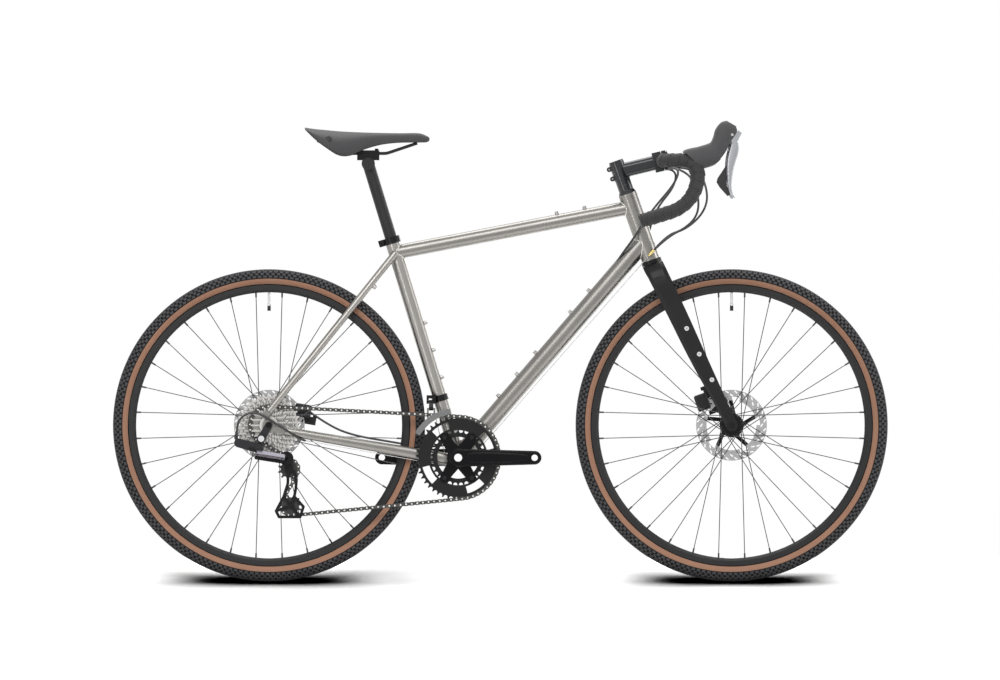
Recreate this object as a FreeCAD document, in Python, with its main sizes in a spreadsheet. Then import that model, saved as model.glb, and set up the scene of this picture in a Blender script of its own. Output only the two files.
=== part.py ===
"""Gravel bicycle with drop bar, disc brakes, double crankset and eleven sprockets.

The bike stands on the plane Z = 0 and faces +X, with its drive side towards -Y. The origin lies on the ground,
midway between the axles and on the plane of symmetry. Lengths are millimetres and angles are degrees.
"""
import FreeCAD
import Part
import Sketcher

import math
import os

from FreeCAD import Placement, Rotation, Vector

X_AXIS = Vector(1, 0, 0)
Y_AXIS = Vector(0, 1, 0)
Z_AXIS = Vector(0, 0, 1)
FULL_TURN = 360
RIGHT = -1
LEFT = 1

SIZES = {
    # Layout of the whole bike
    "wheelbase": 1044,
    "tyre_diameter": 705,
    "bb_drop": 73,
    "chainstay_length": 433,
    "seat_angle": 73,
    "seat_tube_length": 520,
    "head_angle": 70.5,
    "head_tube_length": 158,
    "fork_span": 402.6,
    "fork_offset": 47,
    "chain_line": 46.5,
    # Clearances: a turning fit, a gap between loose faces, and the overrun of every cut
    "turning_fit": 0.05,
    "loose_gap": 0.4,
    "cut_overrun": 6,
    # Frame tubes
    "head_tube_diameter": 42,
    "head_tube_bore": 37,
    "top_tube_diameter": 31.8,
    "top_tube_wall": 1,
    "top_tube_joint": 484,
    "top_tube_below_head_top": 31.5,
    "down_tube_diameter": 40,
    "down_tube_wall": 1,
    "down_tube_above_head_bottom": 45,
    "seat_tube_diameter": 32,
    "bb_shell_diameter": 42,
    "bb_shell_bore": 35,
    "bb_shell_width": 68,
    # Stays and dropouts
    "chainstay_drop": 7,
    "chainstay_front_height": 27,
    "chainstay_rear_height": 19,
    "chainstay_front_width": 14,
    "chainstay_rear_width": 14,
    "chainstay_wall": 1.2,
    "chainstay_front_spread": 26,
    "chainstay_waist_spread": 31.5,
    "chainstay_waist_distance": 92,
    "chainstay_end_gap": 38,
    "seatstay_diameter": 16,
    "seatstay_wall": 1,
    "seatstay_top_spread": 20,
    "seatstay_top_joint": 483,
    "seatstay_foot_back": 0,
    "seatstay_foot_up": 31,
    "rear_hub_width": 142,
    "dropout_thickness": 6,
    "dropout_radius": 13,
    "dropout_arm_height": 14,
    "axle_diameter": 12,
    "axle_head_diameter": 17,
    "axle_head_height": 4,
    "axle_key_width": 6,
    "sleeve_diameter": 15,
    # Seat collar and boss bolts
    "collar_height": 15,
    "collar_wall": 3.5,
    "collar_ear_length": 11,
    "collar_ear_width": 16,
    "collar_gap": 3,
    "collar_bolt_diameter": 8,
    "collar_bolt_length": 22,
    "boss_diameter": 10,
    "boss_height": 3,
    "bolt_head_diameter": 8.5,
    "bolt_head_height": 4,
    "bolt_key_width": 4,
    "bolt_key_depth": 2.5,
    "bottle_boss_spacing": 64,
    "top_boss_from_head": 106,
    "down_boss_low_start": 165.5,
    "down_boss_high_start": 414,
    "seat_boss_start": 185,
    "stay_boss_from_top": 90,
    # Headset, spacers and stem
    "steerer_diameter": 28.6,
    "steerer_bore": 23,
    "steerer_lower_diameter": 35,
    "steerer_taper_start": 70,
    "lower_cup_height": 10,
    "lower_cup_diameter": 47,
    "upper_bearing_height": 9,
    "head_cover_height": 8.2,
    "head_cover_top_diameter": 34,
    "spacer_diameter": 34,
    "spacer_height": 13,
    "stem_clamp_height": 40,
    "stem_clamp_wall": 3.6,
    "stem_length": 100,
    "stem_drop_angle": 6,
    "stem_body_height": 33,
    "stem_body_width": 30,
    "stem_face_height": 45,
    "stem_face_width": 44,
    "stem_face_wall": 5,
    "stem_bolt_diameter": 6.4,
    "stem_key_width": 3,
    "stem_slot_width": 2,
    "stem_lug_diameter": 11,
    "stem_edge_round": 11,
    "stem_bolt_reach": 12,
    "top_cap_height": 5,
    # Handlebar, tape and cables
    "bar_clamp_diameter": 31.8,
    "bar_clamp_length": 84,
    "bar_diameter": 23.8,
    "bar_wall": 2.2,
    "bar_half_width": 212,
    "bar_reach": 79,
    "bar_ramp_rise": 1,
    "bar_drop": 136,
    "bar_tail_back": 49,
    "bar_tail_slope": 17,
    "bar_flare": 10,
    "bar_corner_radius": 42,
    "bar_ramp_radius": 34,
    "bar_hook_radius": 88,
    "tape_thickness": 4.2,
    "tape_start": 50,
    "plug_length": 5,
    "cable_diameter": 5,
    "wire_diameter": 1.6,
    "wire_bend": 22,
    "wire_ease": 150,
    "cable_reach": 100,
    "adjuster_length": 18,
    "adjuster_diameter": 8,
    "guide_block_length": 8,
    # Fork
    "crown_height": 34,
    "crown_top_width": 47,
    "crown_length": 46,
    "crown_half_span": 51,
    "blade_top_length": 46,
    "blade_tip_length": 27,
    "blade_top_width": 22,
    "blade_tip_width": 13,
    "blade_top_spread": 40,
    "front_hub_width": 100,
    "fork_tip_diameter": 27,
    "cargo_boss_first": 112,
    "cargo_boss_thread": 5,
    "cargo_boss_depth": 8,
    # Tyres, tubes, rims and spokes
    "tyre_width": 42,
    "tyre_wall": 3,
    "rim_diameter": 634,
    "rim_inner_diameter": 600,
    "rim_width": 28,
    "rim_bed_width": 15,
    "rim_hook": 2,
    "rim_lip": 3.5,
    "rim_wall": 1.8,
    "tube_wall": 1,
    "valve_diameter": 6,
    "valve_length": 56,
    "valve_cap_diameter": 7.6,
    "valve_cap_length": 16,
    "spoke_count": 32,
    "spoke_crossings": 3,
    "spoke_diameter": 2,
    "nipple_diameter": 4,
    "nipple_length": 12,
    "nipple_depth": 2,
    # Hubs
    "flange_diameter": 54,
    "spoke_circle": 45,
    "flange_thickness": 3,
    "hub_shell_diameter": 32,
    "hub_bearing_diameter": 26,
    "hub_bearing_width": 7,
    "rotor_seat_diameter": 34,
    "front_hub_end": 4,
    "front_right_flange": 32,
    "front_left_flange": 22,
    "front_rotor_offset": 39.5,
    "rear_right_flange": 19,
    "rear_left_flange": 33,
    "rear_hub_right_end": 24.2,
    "rear_hub_left_end": 4,
    "rear_rotor_offset": 55.5,
    # Rotors
    "rotor_diameter": 160,
    "rotor_track": 15.5,
    "rotor_thickness": 1.8,
    "rotor_slot_count": 24,
    "rotor_slot_length": 9,
    "rotor_slot_width": 3,
    "rotor_arm_count": 5,
    "rotor_arm_width": 9,
    "rotor_arm_lean": 22,
    "rotor_hub_wall": 7,
    "rotor_fin_width": 8,
    "lock_ring_diameter": 44,
    "lock_ring_height": 4,
    # Calipers
    "caliper_length": 38,
    "caliper_height": 30,
    "caliper_width": 32,
    "caliper_slot": 7,
    "caliper_round": 5,
    "caliper_foot_length": 66,
    "caliper_foot_height": 9,
    "caliper_foot_width": 16,
    "pad_thickness": 2,
    "pad_gap": 0.4,
    "rear_caliper_forward": 76,
    "rear_caliper_up": 33,
    "front_caliper_back": 66,
    "front_caliper_up": 52,
    # Crankset
    "crank_length": 172.5,
    "crank_pedal_face": 75.5,
    "crank_arm_thickness": 14,
    "crank_boss_diameter": 41,
    "crank_end_diameter": 31,
    "crank_edge_round": 4,
    "pedal_thread_diameter": 14.28,
    "spindle_diameter": 24,
    "spindle_bore": 18,
    "bb_cup_diameter": 44,
    "bb_cup_width": 11,
    "bb_cup_sleeve": 12,
    "spider_radius": 55,
    "spider_arm_angle": 56,
    "spider_hub_diameter": 50,
    "spider_end_diameter": 20,
    "spider_thickness": 6,
    "outer_ring_teeth": 46,
    "inner_ring_teeth": 30,
    "ring_thickness": 2,
    "ring_spacing": 7,
    "outer_ring_hole_diameter": 124,
    "inner_ring_hole_diameter": 94,
    "inner_ring_spider_radius": 41,
    "ring_tab_diameter": 19,
    "ring_window_inner": 67,
    "ring_window_outer": 83,
    "ring_window_span": 30,
    "ring_bolt_diameter": 10,
    "ring_bolt_head": 2.5,
    "pinch_bolt_diameter": 8,
    # Chain and sprockets
    "chain_pitch": 12.7,
    "roller_diameter": 7.7,
    "tooth_root_diameter": 8.5,
    "tooth_height": 2.7,
    "tooth_tip": 1.7,
    "sprocket_thickness": 1.6,
    "sprocket_spacing": 3.9,
    "chain_inner_width": 2.3,
    "chain_plate": 0.75,
    "chain_plate_gap": 0.05,
    "chain_plate_height": 8.2,
    "chain_pin_diameter": 3.6,
    "cassette_bore": 34,
    "cassette_spacer_diameter": 42,
    "cassette_lock_height": 3,
    "pulley_teeth": 11,
    "pulley_thickness": 2,
    "pulley_bore": 6,
    # Rear derailleur, places measured from the rear axle
    "hanger_back": 17,
    "hanger_down": 30,
    "hanger_thickness": 7,
    "hanger_diameter": 17,
    "hanger_bolt_diameter": 13.6,
    "knuckle_width": 15,
    "knuckle_diameter": 20,
    "cable_stop_back": 51,
    "cable_stop_down": 9.5,
    "cable_stop_diameter": 20,
    "link_root_back": 25,
    "link_root_down": 62.5,
    "link_root_out": 94,
    "link_length": 57,
    "link_slope": 9,
    "link_slant": 35,
    "link_spacing": 14,
    "link_height": 9,
    "link_width": 11,
    "link_pin_diameter": 4,
    "knuckle_plate": 5,
    "cage_pivot_forward": 40,
    "cage_pivot_down": 74,
    "cage_knuckle_diameter": 31,
    "cage_pivot_diameter": 10,
    "cage_gap": 5,
    "cage_plate": 1.6,
    "guide_forward": 5,
    "guide_down": 25,
    "tension_forward": 10,
    "tension_down": 107,
    "cage_bar_width": 13,
    "cage_rim_width": 6.4,
    # Front derailleur
    "changer_height": 140,
    "changer_band_height": 14,
    "changer_band_wall": 2.5,
    "changer_body_back": 20,
    "changer_body_size": 15,
    "changer_link_drop": 16,
    "changer_link_out": 6,
    "changer_link_length": 10,
    "changer_pin_diameter": 4,
    "changer_plate_height": 13,
    "changer_plate": 1.5,
    "changer_ring_gap": 4,
    "changer_outer_gap": 6.5,
    "changer_inner_gap": 5,
    "changer_front_angle": 99,
    "changer_tail_angle": 150,
    # Brake levers
    "hood_length": 154,
    "hood_height": 108,
    "hood_width": 34,
    "lever_pivot_forward": 155,
    "lever_pivot_rise": 57.5,
    "lever_length": 143,
    "lever_blade_width": 23,
    "lever_thickness": 13,
    "lever_boss_diameter": 11,
    "lever_pin_diameter": 5,
    "lever_slot_gap": 1,
    "lever_ear_room": 10,
    "paddle_thickness": 3,
    "paddle_pin_diameter": 4,
    "paddle_pin_length": 7,
    # Seat
    "post_diameter": 27.2,
    "post_bore": 22,
    "post_length": 300,
    "post_rise": 174,
    "post_head_length": 46,
    "post_head_diameter": 30,
    "rail_diameter": 7,
    "rail_spread": 22,
    "rail_bend": 30,
    "rail_height": 966,
    "clamp_length": 50,
    "clamp_plate": 7,
    "clamp_width": 54,
    "clamp_bolt_diameter": 6,
    "saddle_length": 281,
    "saddle_width": 156,
    "saddle_height": 64,
    "saddle_top": 1024.6,
    "saddle_back": -440.9,
    "saddle_skin": 5,
}

doc = FreeCAD.newDocument("GravelBike")
sheet = doc.addObject("Spreadsheet::Sheet", "Sizes")
for row, (alias, number) in enumerate(SIZES.items(), start=1):
    sheet.set(f"A{row}", alias)
    sheet.set(f"B{row}", str(number))
    sheet.setAlias(f"B{row}", alias)
doc.recompute()

NODES = []
NODES_BY_LABEL = {}


class Formula:
    """A length written in the sheet's names, with the value that it has now."""

    def __init__(self, text, value):
        self.text = text
        self.value = value

    def __add__(self, other):
        return Formula(f"({self.text} + {formula(other).text})", self.value + formula(other).value)

    def __sub__(self, other):
        return Formula(f"({self.text} - {formula(other).text})", self.value - formula(other).value)

    def __mul__(self, factor):
        return Formula(f"{self.text} * {factor}", self.value * factor)

    def __truediv__(self, factor):
        return Formula(f"{self.text} / {factor}", self.value / factor)

    def __neg__(self):
        return Formula(f"-1 * {self.text}", -self.value)


def formula(thing):
    """A formula as it is, or a plain number as one."""
    if isinstance(thing, Formula):
        return thing
    return Formula(str(thing), float(thing))


class Values:
    """The sheet's numbers, by name."""

    def __getitem__(self, alias):
        return float(sheet.get(alias))

    __getattr__ = __getitem__


class Names:
    """The sheet's cells as formulas, by name."""

    def __getitem__(self, alias):
        return Formula(f"Sizes.{alias}", mm[alias])

    __getattr__ = __getitem__


mm = Values()
cell = Names()


# Document helpers: bound primitives, booleans, groups and finished nodes

def bind(piece, **lengths):
    """Tie properties of a document object to formulas of the sheet."""
    for name, length in lengths.items():
        piece.setExpression(name, length.text)


def aim(point, direction):
    """The placement that turns +Z to a direction at a point."""
    return Placement(point, Rotation(Z_AXIS, direction))


def rod(name, radius, start, end):
    """A round bar between two points, its radius bound to the sheet."""
    piece = doc.addObject("Part::Cylinder", name)
    bind(piece, Radius=radius)
    piece.Height = (end - start).Length
    piece.Placement = aim(start, end - start)
    return piece


def torus(name, ring_radius, section_radius, centre):
    """A ring about the Y axis through a point."""
    piece = doc.addObject("Part::Torus", name)
    bind(piece, Radius1=ring_radius, Radius2=section_radius)
    piece.Placement = aim(centre, Y_AXIS)
    return piece


def fuse(name, *pieces):
    piece = doc.addObject("Part::MultiFuse", name)
    piece.Shapes = list(pieces)
    return piece


def cut(name, base, *tools):
    tool = tools[0]
    if len(tools) > 1:
        tool = fuse(name + "Tools", *tools)
    piece = doc.addObject("Part::Cut", name)
    piece.Base = base
    piece.Tool = tool
    return piece


def group(name, *pieces):
    """Separate solids that share one node."""
    piece = doc.addObject("Part::Compound", name)
    piece.Links = list(pieces)
    return piece


def solid(name, shape):
    """A shape worked out from the sheet's values."""
    piece = doc.addObject("Part::Feature", name)
    piece.Shape = shape
    return piece


def node(label, piece):
    """Name a finished sub-part, which is written to a file of that name."""
    piece.Label = label
    NODES.append(piece)
    NODES_BY_LABEL[label] = piece
    return piece


def tube(name, diameter, bore, start, end):
    """A hollow round bar between two points."""
    over = (end - start).normalize() * mm.cut_overrun
    outer = rod(name + "Outer", diameter / 2, start, end)
    inner = rod(name + "Bore", bore / 2, start - over, end + over)
    return cut(name, outer, inner)


def turned(name, loops, centre):
    """A body turned about the Y axis from loops of (radius, place along the axis)."""
    body = doc.addObject("PartDesign::Body", name)
    sketch = body.newObject("Sketcher::SketchObject", name + "Outline")
    plane = [item for item in body.Origin.OriginFeatures if item.Role == "XY_Plane"][0]
    sketch.AttachmentSupport = [(plane, "")]
    sketch.MapMode = "FlatFace"
    for loop in loops:
        add_polygon(sketch, loop)
    turn = body.newObject("PartDesign::Revolution", name + "Turn")
    turn.Profile = sketch
    turn.ReferenceAxis = (sketch, ["V_Axis"])
    turn.Angle = FULL_TURN
    body.Placement = Placement(centre, Rotation())
    return body


def add_polygon(sketch, corners):
    """Draw a closed polygon whose corners are bound to the sheet."""
    first = sketch.GeometryCount
    points = [Vector(across.value, along.value, 0) for across, along in corners]
    count = len(points)
    for index in range(count):
        sketch.addGeometry(Part.LineSegment(points[index], points[(index + 1) % count]))
    for index in range(count):
        following = first + (index + 1) % count
        sketch.addConstraint(Sketcher.Constraint("Coincident", first + index, 2, following, 1))
    for index, corner in enumerate(corners):
        for kind, length in zip(("DistanceX", "DistanceY"), corner):
            place = Sketcher.Constraint(kind, -1, 1, first + index, 1, length.value)
            number = sketch.addConstraint(place)
            sketch.setExpression(f"Constraints[{number}]", length.text)


# Shape helpers

def ray(degrees):
    """The unit direction at an angle in the XZ plane, measured from +X towards +Z."""
    return Vector(math.cos(math.radians(degrees)), 0, math.sin(math.radians(degrees)))


def across(point, y):
    """A point moved to another place across the bike."""
    return Vector(point.x, y, point.z)


def disc(centre, radius, y_from, y_to):
    """A cylinder along Y between two places across the bike."""
    return Part.makeCylinder(radius, y_to - y_from, across(centre, y_from), Y_AXIS)


def washer(centre, radius, bore, y_from, y_to):
    return disc(centre, radius, y_from, y_to).cut(disc(centre, bore, y_from, y_to))


def prism(points, y_from, y_to):
    """A plate from an outline of points in the XZ plane."""
    loop = [across(point, y_from) for point in points]
    face = Part.Face(Part.makePolygon(loop + loop[:1]))
    return face.extrude(Y_AXIS * (y_to - y_from))


def capsule(start, start_radius, end, end_radius, y_from, y_to):
    """A plate whose outline wraps a circle at each of two points in the XZ plane."""
    run = across(end, 0) - across(start, 0)
    heading = math.degrees(math.atan2(run.z, run.x))
    lean = math.degrees(math.acos((start_radius - end_radius) / run.Length))
    first = across(start, y_from)
    last = across(end, y_from)
    low = ray(heading - lean)
    high = ray(heading + lean)
    forward = ray(heading)
    edges = [
        Part.LineSegment(first + low * start_radius, last + low * end_radius),
        Part.Arc(last + low * end_radius, last + forward * end_radius, last + high * end_radius),
        Part.LineSegment(last + high * end_radius, first + high * start_radius),
        Part.Arc(first + high * start_radius, first - forward * start_radius, first + low * start_radius),
    ]
    wire = Part.Wire([edge.toShape() for edge in edges])
    return Part.Face(wire).extrude(Y_AXIS * (y_to - y_from))


def sector(centre, inner, outer, angle_from, angle_to, y_from, y_to):
    """A curved plate: part of a flat ring about an axis along Y."""
    middle = ray((angle_from + angle_to) / 2)
    hub = across(centre, y_from)
    begin = ray(angle_from)
    finish = ray(angle_to)
    edges = [
        Part.Arc(hub + begin * outer, hub + middle * outer, hub + finish * outer),
        Part.LineSegment(hub + finish * outer, hub + finish * inner),
        Part.Arc(hub + finish * inner, hub + middle * inner, hub + begin * inner),
        Part.LineSegment(hub + begin * inner, hub + begin * outer),
    ]
    wire = Part.Wire([edge.toShape() for edge in edges])
    return Part.Face(wire).extrude(Y_AXIS * (y_to - y_from))


def mirrored(shape):
    """The same shape on the other side of the bike."""
    return shape.mirror(Vector(0, 0, 0), Y_AXIS)


def pair(shape):
    """A shape and its mirror image as separate solids."""
    return Part.makeCompound([shape, mirrored(shape)])


def rounded_path(points, radii):
    """Straight runs joined by tangent arcs: one radius for each point but the first and last."""
    edges = []
    last = points[0]
    for index, radius in enumerate(radii, start=1):
        corner = points[index]
        back = (points[index - 1] - corner).normalize()
        on = (points[index + 1] - corner).normalize()
        half = back.getAngle(on) / 2
        reach = radius / math.tan(half)
        middle = corner + (back + on).normalize() * (radius / math.sin(half) - radius)
        enter = corner + back * reach
        leave = corner + on * reach
        if (enter - last).Length > mm.turning_fit:
            edges.append(Part.LineSegment(last, enter).toShape())
        edges.append(Part.Arc(enter, middle, leave).toShape())
        last = leave
    edges.append(Part.LineSegment(last, points[-1]).toShape())
    return Part.Wire(edges)


CORD_RUN_SHARE = 0.45


def cord_path(points):
    """A cable's path: each arc is as large as its two runs allow."""
    radii = []
    for before, corner, after in zip(points, points[1:], points[2:]):
        back = before - corner
        on = after - corner
        run = min(back.Length, on.Length)
        radii.append(CORD_RUN_SHARE * run * math.tan(back.getAngle(on) / 2))
    return rounded_path(points, radii), radii


def pipe(path, radius):
    """A round bar along a path."""
    first = path.OrderedEdges[0]
    start = first.valueAt(first.FirstParameter)
    heading = first.tangentAt(first.FirstParameter)
    profile = Part.Wire([Part.Circle(start, heading, radius).toShape()])
    return path.makePipeShell([profile], True, False)


def cable(name, points, radius):
    """A cable along its route, with its volume compared with its section times its length."""
    path, radii = cord_path(points)
    shape = pipe(path, radius)
    expected = math.pi * radius ** 2 * path.Length
    print(f"{name}: least radius {min(radii):.1f}, length {path.Length:.0f}, "
          f"volume share {shape.Volume / expected:.4f}")
    return shape


def oval(centre, first, second):
    """An elliptical wire from its centre and its two half axes, the longer one first."""
    curve = Part.Ellipse(centre + first, centre + second, centre)
    return Part.Wire([curve.toShape()])


def octagon(centre, along, aside, corner_share):
    """An eight-sided wire from half a side along and half a side aside, with its corners cut off."""
    keep = 1 - corner_share
    turns = [(1, keep), (keep, 1), (-keep, 1), (-1, keep), (-1, -keep), (-keep, -1), (keep, -1), (1, -keep)]
    points = [centre + along * lengthwise + aside * sidewise for lengthwise, sidewise in turns]
    return Part.makePolygon(points + points[:1])


def loft(wires, ruled=False):
    return Part.makeLoft(wires, True, ruled)


def softened(shape, radius, chosen):
    """Round the edges that a test chooses."""
    edges = [edge for edge in shape.Edges if chosen(edge)]
    return shape.makeFillet(radius, edges)


def bolt(seat, direction, diameter, height, key_width, key_depth):
    """A round bolt head with a hexagon socket, standing on a seat."""
    head = Part.makeCylinder(diameter / 2, height, seat, direction)
    placement = aim(seat + direction * (height - key_depth), direction)
    corners = [Vector(key_width / math.sqrt(3), 0, 0)]
    for step in range(1, 6):
        corners.append(Rotation(Z_AXIS, 60 * step).multVec(corners[0]))
    key = Part.Face(Part.makePolygon(corners + corners[:1])).extrude(Z_AXIS * (key_depth + mm.cut_overrun))
    key.Placement = placement
    return head.cut(key)


def boss_bolt(seat, direction):
    """A threaded boss with its bolt, seated on a tube."""
    boss = Part.makeCylinder(mm.boss_diameter / 2, mm.boss_height, seat, direction)
    top = seat + direction * mm.boss_height
    head = bolt(top, direction, mm.bolt_head_diameter, mm.bolt_head_height, mm.bolt_key_width, mm.bolt_key_depth)
    return boss.fuse(head)


# Layout: the points and directions that the pieces share

WHEEL_RADIUS = mm.tyre_diameter / 2
REAR_AXLE = Vector(-mm.wheelbase / 2, 0, WHEEL_RADIUS)
FRONT_AXLE = Vector(mm.wheelbase / 2, 0, WHEEL_RADIUS)
STAY_RUN = math.sqrt(mm.chainstay_length ** 2 - mm.bb_drop ** 2)
CRANK_AXLE = REAR_AXLE + Vector(STAY_RUN, 0, -mm.bb_drop)
SEAT_UP = ray(FULL_TURN / 2 - mm.seat_angle)
SEAT_FORWARD = ray(FULL_TURN / 4 - mm.seat_angle)
SEAT_TOP = CRANK_AXLE + SEAT_UP * mm.seat_tube_length
STEER_UP = ray(FULL_TURN / 2 - mm.head_angle)
STEER_FORWARD = ray(FULL_TURN / 4 - mm.head_angle)
CROWN_TOP = FRONT_AXLE + STEER_UP * mm.fork_span - STEER_FORWARD * mm.fork_offset
HEAD_BOTTOM = CROWN_TOP + STEER_UP * mm.lower_cup_height
HEAD_TOP = HEAD_BOTTOM + STEER_UP * mm.head_tube_length
TOP_REAR = CRANK_AXLE + SEAT_UP * mm.top_tube_joint
TOP_FRONT = HEAD_TOP - STEER_UP * mm.top_tube_below_head_top
DOWN_FRONT = HEAD_BOTTOM + STEER_UP * mm.down_tube_above_head_bottom
CHAIN_PLANE = -mm.chain_line
DROPOUT_INNER = mm.rear_hub_width / 2
DROPOUT_OUTER = DROPOUT_INNER + mm.dropout_thickness
STEM_BASE = HEAD_TOP + STEER_UP * (mm.head_cover_height + 2 * mm.spacer_height)
STEM_CENTRE = STEM_BASE + STEER_UP * (mm.stem_clamp_height / 2)
STEM_HEADING = FULL_TURN / 4 - mm.head_angle - mm.stem_drop_angle
BAR_CENTRE = STEM_CENTRE + ray(STEM_HEADING) * mm.stem_length


# Frame

STAY_DOWN = -Z_AXIS * mm.chainstay_drop
STAY_FRONT = CRANK_AXLE + STAY_DOWN
STAY_REAR = REAR_AXLE + STAY_DOWN
STAY_HEADING = (STAY_REAR - STAY_FRONT).normalize()
STAY_UP = Vector(-STAY_HEADING.z, 0, STAY_HEADING.x) * -1
STAY_END = STAY_REAR - STAY_HEADING * mm.chainstay_end_gap
SEATSTAY_FOOT = REAR_AXLE + Vector(-mm.seatstay_foot_back, 0, mm.seatstay_foot_up)
SEATSTAY_TOP = CRANK_AXLE + SEAT_UP * mm.seatstay_top_joint
DROPOUT_MIDDLE = (DROPOUT_INNER + DROPOUT_OUTER) / 2
# Places along the rear stretch of a chainstay, and how far out each lies
CHAINSTAY_REST_SHARES = [(0.35, 0.36), (0.7, 0.76), (1.0, 1.0)]


def tube_body(start, end, diameter):
    """The outside of a tube as a plain bar, to cut what sits on it."""
    return Part.makeCylinder(diameter / 2, (end - start).Length, start, end - start)


def bar(start, end, height, y_from, y_to):
    """A flat bar between two points in the XZ plane."""
    run = (across(end, 0) - across(start, 0)).normalize()
    side = Vector(-run.z, 0, run.x) * (height / 2)
    return prism([start - side, end - side, end + side, start + side], y_from, y_to)


def build_main_triangle():
    over = mm.cut_overrun
    side = Y_AXIS * (mm.bb_shell_width / 2)
    head_cutter = rod("HeadCutter", cell.head_tube_diameter / 2, HEAD_BOTTOM - STEER_UP * over,
                      HEAD_TOP + STEER_UP * over)
    seat_cutter = rod("SeatCutter", cell.seat_tube_diameter / 2, CRANK_AXLE, SEAT_TOP)
    shell_cutter = rod("ShellCutter", cell.bb_shell_diameter / 2, CRANK_AXLE - side, CRANK_AXLE + side)
    down_cutter = rod("DownCutter", cell.down_tube_diameter / 2, CRANK_AXLE, DOWN_FRONT)
    top_bore = cell.top_tube_diameter - cell.top_tube_wall * 2
    down_bore = cell.down_tube_diameter - cell.down_tube_wall * 2
    seat_bore = cell.post_diameter + cell.turning_fit * 2
    node("head_tube", tube("HeadTube", cell.head_tube_diameter, cell.head_tube_bore, HEAD_BOTTOM, HEAD_TOP))
    top = tube("TopBlank", cell.top_tube_diameter, top_bore, TOP_REAR, TOP_FRONT)
    node("top_tube", cut("TopTube", top, head_cutter, seat_cutter))
    down = tube("DownBlank", cell.down_tube_diameter, down_bore, CRANK_AXLE, DOWN_FRONT)
    node("down_tube", cut("DownTube", down, head_cutter, shell_cutter))
    seat = tube("SeatBlank", cell.seat_tube_diameter, seat_bore, CRANK_AXLE, SEAT_TOP)
    node("seat_tube", cut("SeatTube", seat, shell_cutter, down_cutter))
    shell = tube("Shell", cell.bb_shell_diameter, cell.bb_shell_bore, CRANK_AXLE - side, CRANK_AXLE + side)
    node("bottom_bracket_shell", shell)


def chainstay_loft(inset):
    """The left chainstay as a solid: oval sections that spread from the shell to the dropout."""
    length = (STAY_END - STAY_FRONT).Length
    places = [(0, mm.chainstay_front_spread), (mm.chainstay_waist_distance, mm.chainstay_waist_spread)]
    rest = length - mm.chainstay_waist_distance
    for along_share, out_share in CHAINSTAY_REST_SHARES:
        out = mm.chainstay_waist_spread + (DROPOUT_MIDDLE - mm.chainstay_waist_spread) * out_share
        places.append((mm.chainstay_waist_distance + rest * along_share, out))
    wires = []
    for distance, out in places:
        share = distance / length
        height = mm.chainstay_front_height + (mm.chainstay_rear_height - mm.chainstay_front_height) * share
        width = mm.chainstay_front_width + (mm.chainstay_rear_width - mm.chainstay_front_width) * share
        centre = across(STAY_FRONT + STAY_HEADING * distance, out)
        wires.append(oval(centre, STAY_UP * (height / 2 - inset), Y_AXIS * (width / 2 - inset)))
    return loft(wires)


def build_rear_triangle():
    shell = disc(CRANK_AXLE, mm.bb_shell_diameter / 2, -mm.bb_shell_width, mm.bb_shell_width)
    stay = chainstay_loft(0).cut(chainstay_loft(mm.chainstay_wall)).cut(shell)
    node("chainstays", solid("Chainstays", pair(stay)))

    top = across(SEATSTAY_TOP, mm.seatstay_top_spread)
    foot = across(SEATSTAY_FOOT, DROPOUT_MIDDLE)
    upper = tube_body(foot, top, mm.seatstay_diameter)
    upper = upper.cut(tube_body(foot, top, mm.seatstay_diameter - 2 * mm.seatstay_wall))
    upper = upper.cut(tube_body(CRANK_AXLE, SEAT_TOP, mm.seat_tube_diameter))
    upper = upper.cut(tube_body(TOP_REAR, TOP_FRONT, mm.top_tube_diameter))
    node("seatstays", solid("Seatstays", pair(upper)))

    plate = disc(REAR_AXLE, mm.dropout_radius, DROPOUT_INNER, DROPOUT_OUTER)
    plate = plate.fuse(bar(STAY_REAR, STAY_END, mm.dropout_arm_height, DROPOUT_INNER, DROPOUT_OUTER))
    heading = (across(SEATSTAY_TOP, 0) - across(SEATSTAY_FOOT, 0)).normalize()
    root = SEATSTAY_FOOT - heading * mm.seatstay_diameter
    arm = bar(root, SEATSTAY_FOOT, mm.dropout_arm_height, DROPOUT_INNER, DROPOUT_OUTER)
    plate = plate.fuse(arm).removeSplitter()
    plate = plate.cut(tube_body(foot, top, mm.seatstay_diameter))
    hole = disc(REAR_AXLE, mm.axle_diameter / 2 + mm.turning_fit, DROPOUT_INNER, DROPOUT_OUTER)
    node("dropouts", solid("Dropouts", pair(plate.cut(hole))))


def through_axle(centre, inner, outer):
    """A through axle with a key socket in its head, and the hub's sleeve on it."""
    shaft = disc(centre, mm.axle_diameter / 2, -outer - mm.axle_head_height / 2, outer)
    head = bolt(across(centre, outer), Y_AXIS, mm.axle_head_diameter, mm.axle_head_height,
                mm.axle_key_width, mm.axle_head_height)
    bore = mm.axle_diameter / 2 + mm.turning_fit
    sleeve = washer(centre, mm.sleeve_diameter / 2, bore, -inner, inner)
    return Part.makeCompound([shaft.fuse(head), sleeve])


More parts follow.
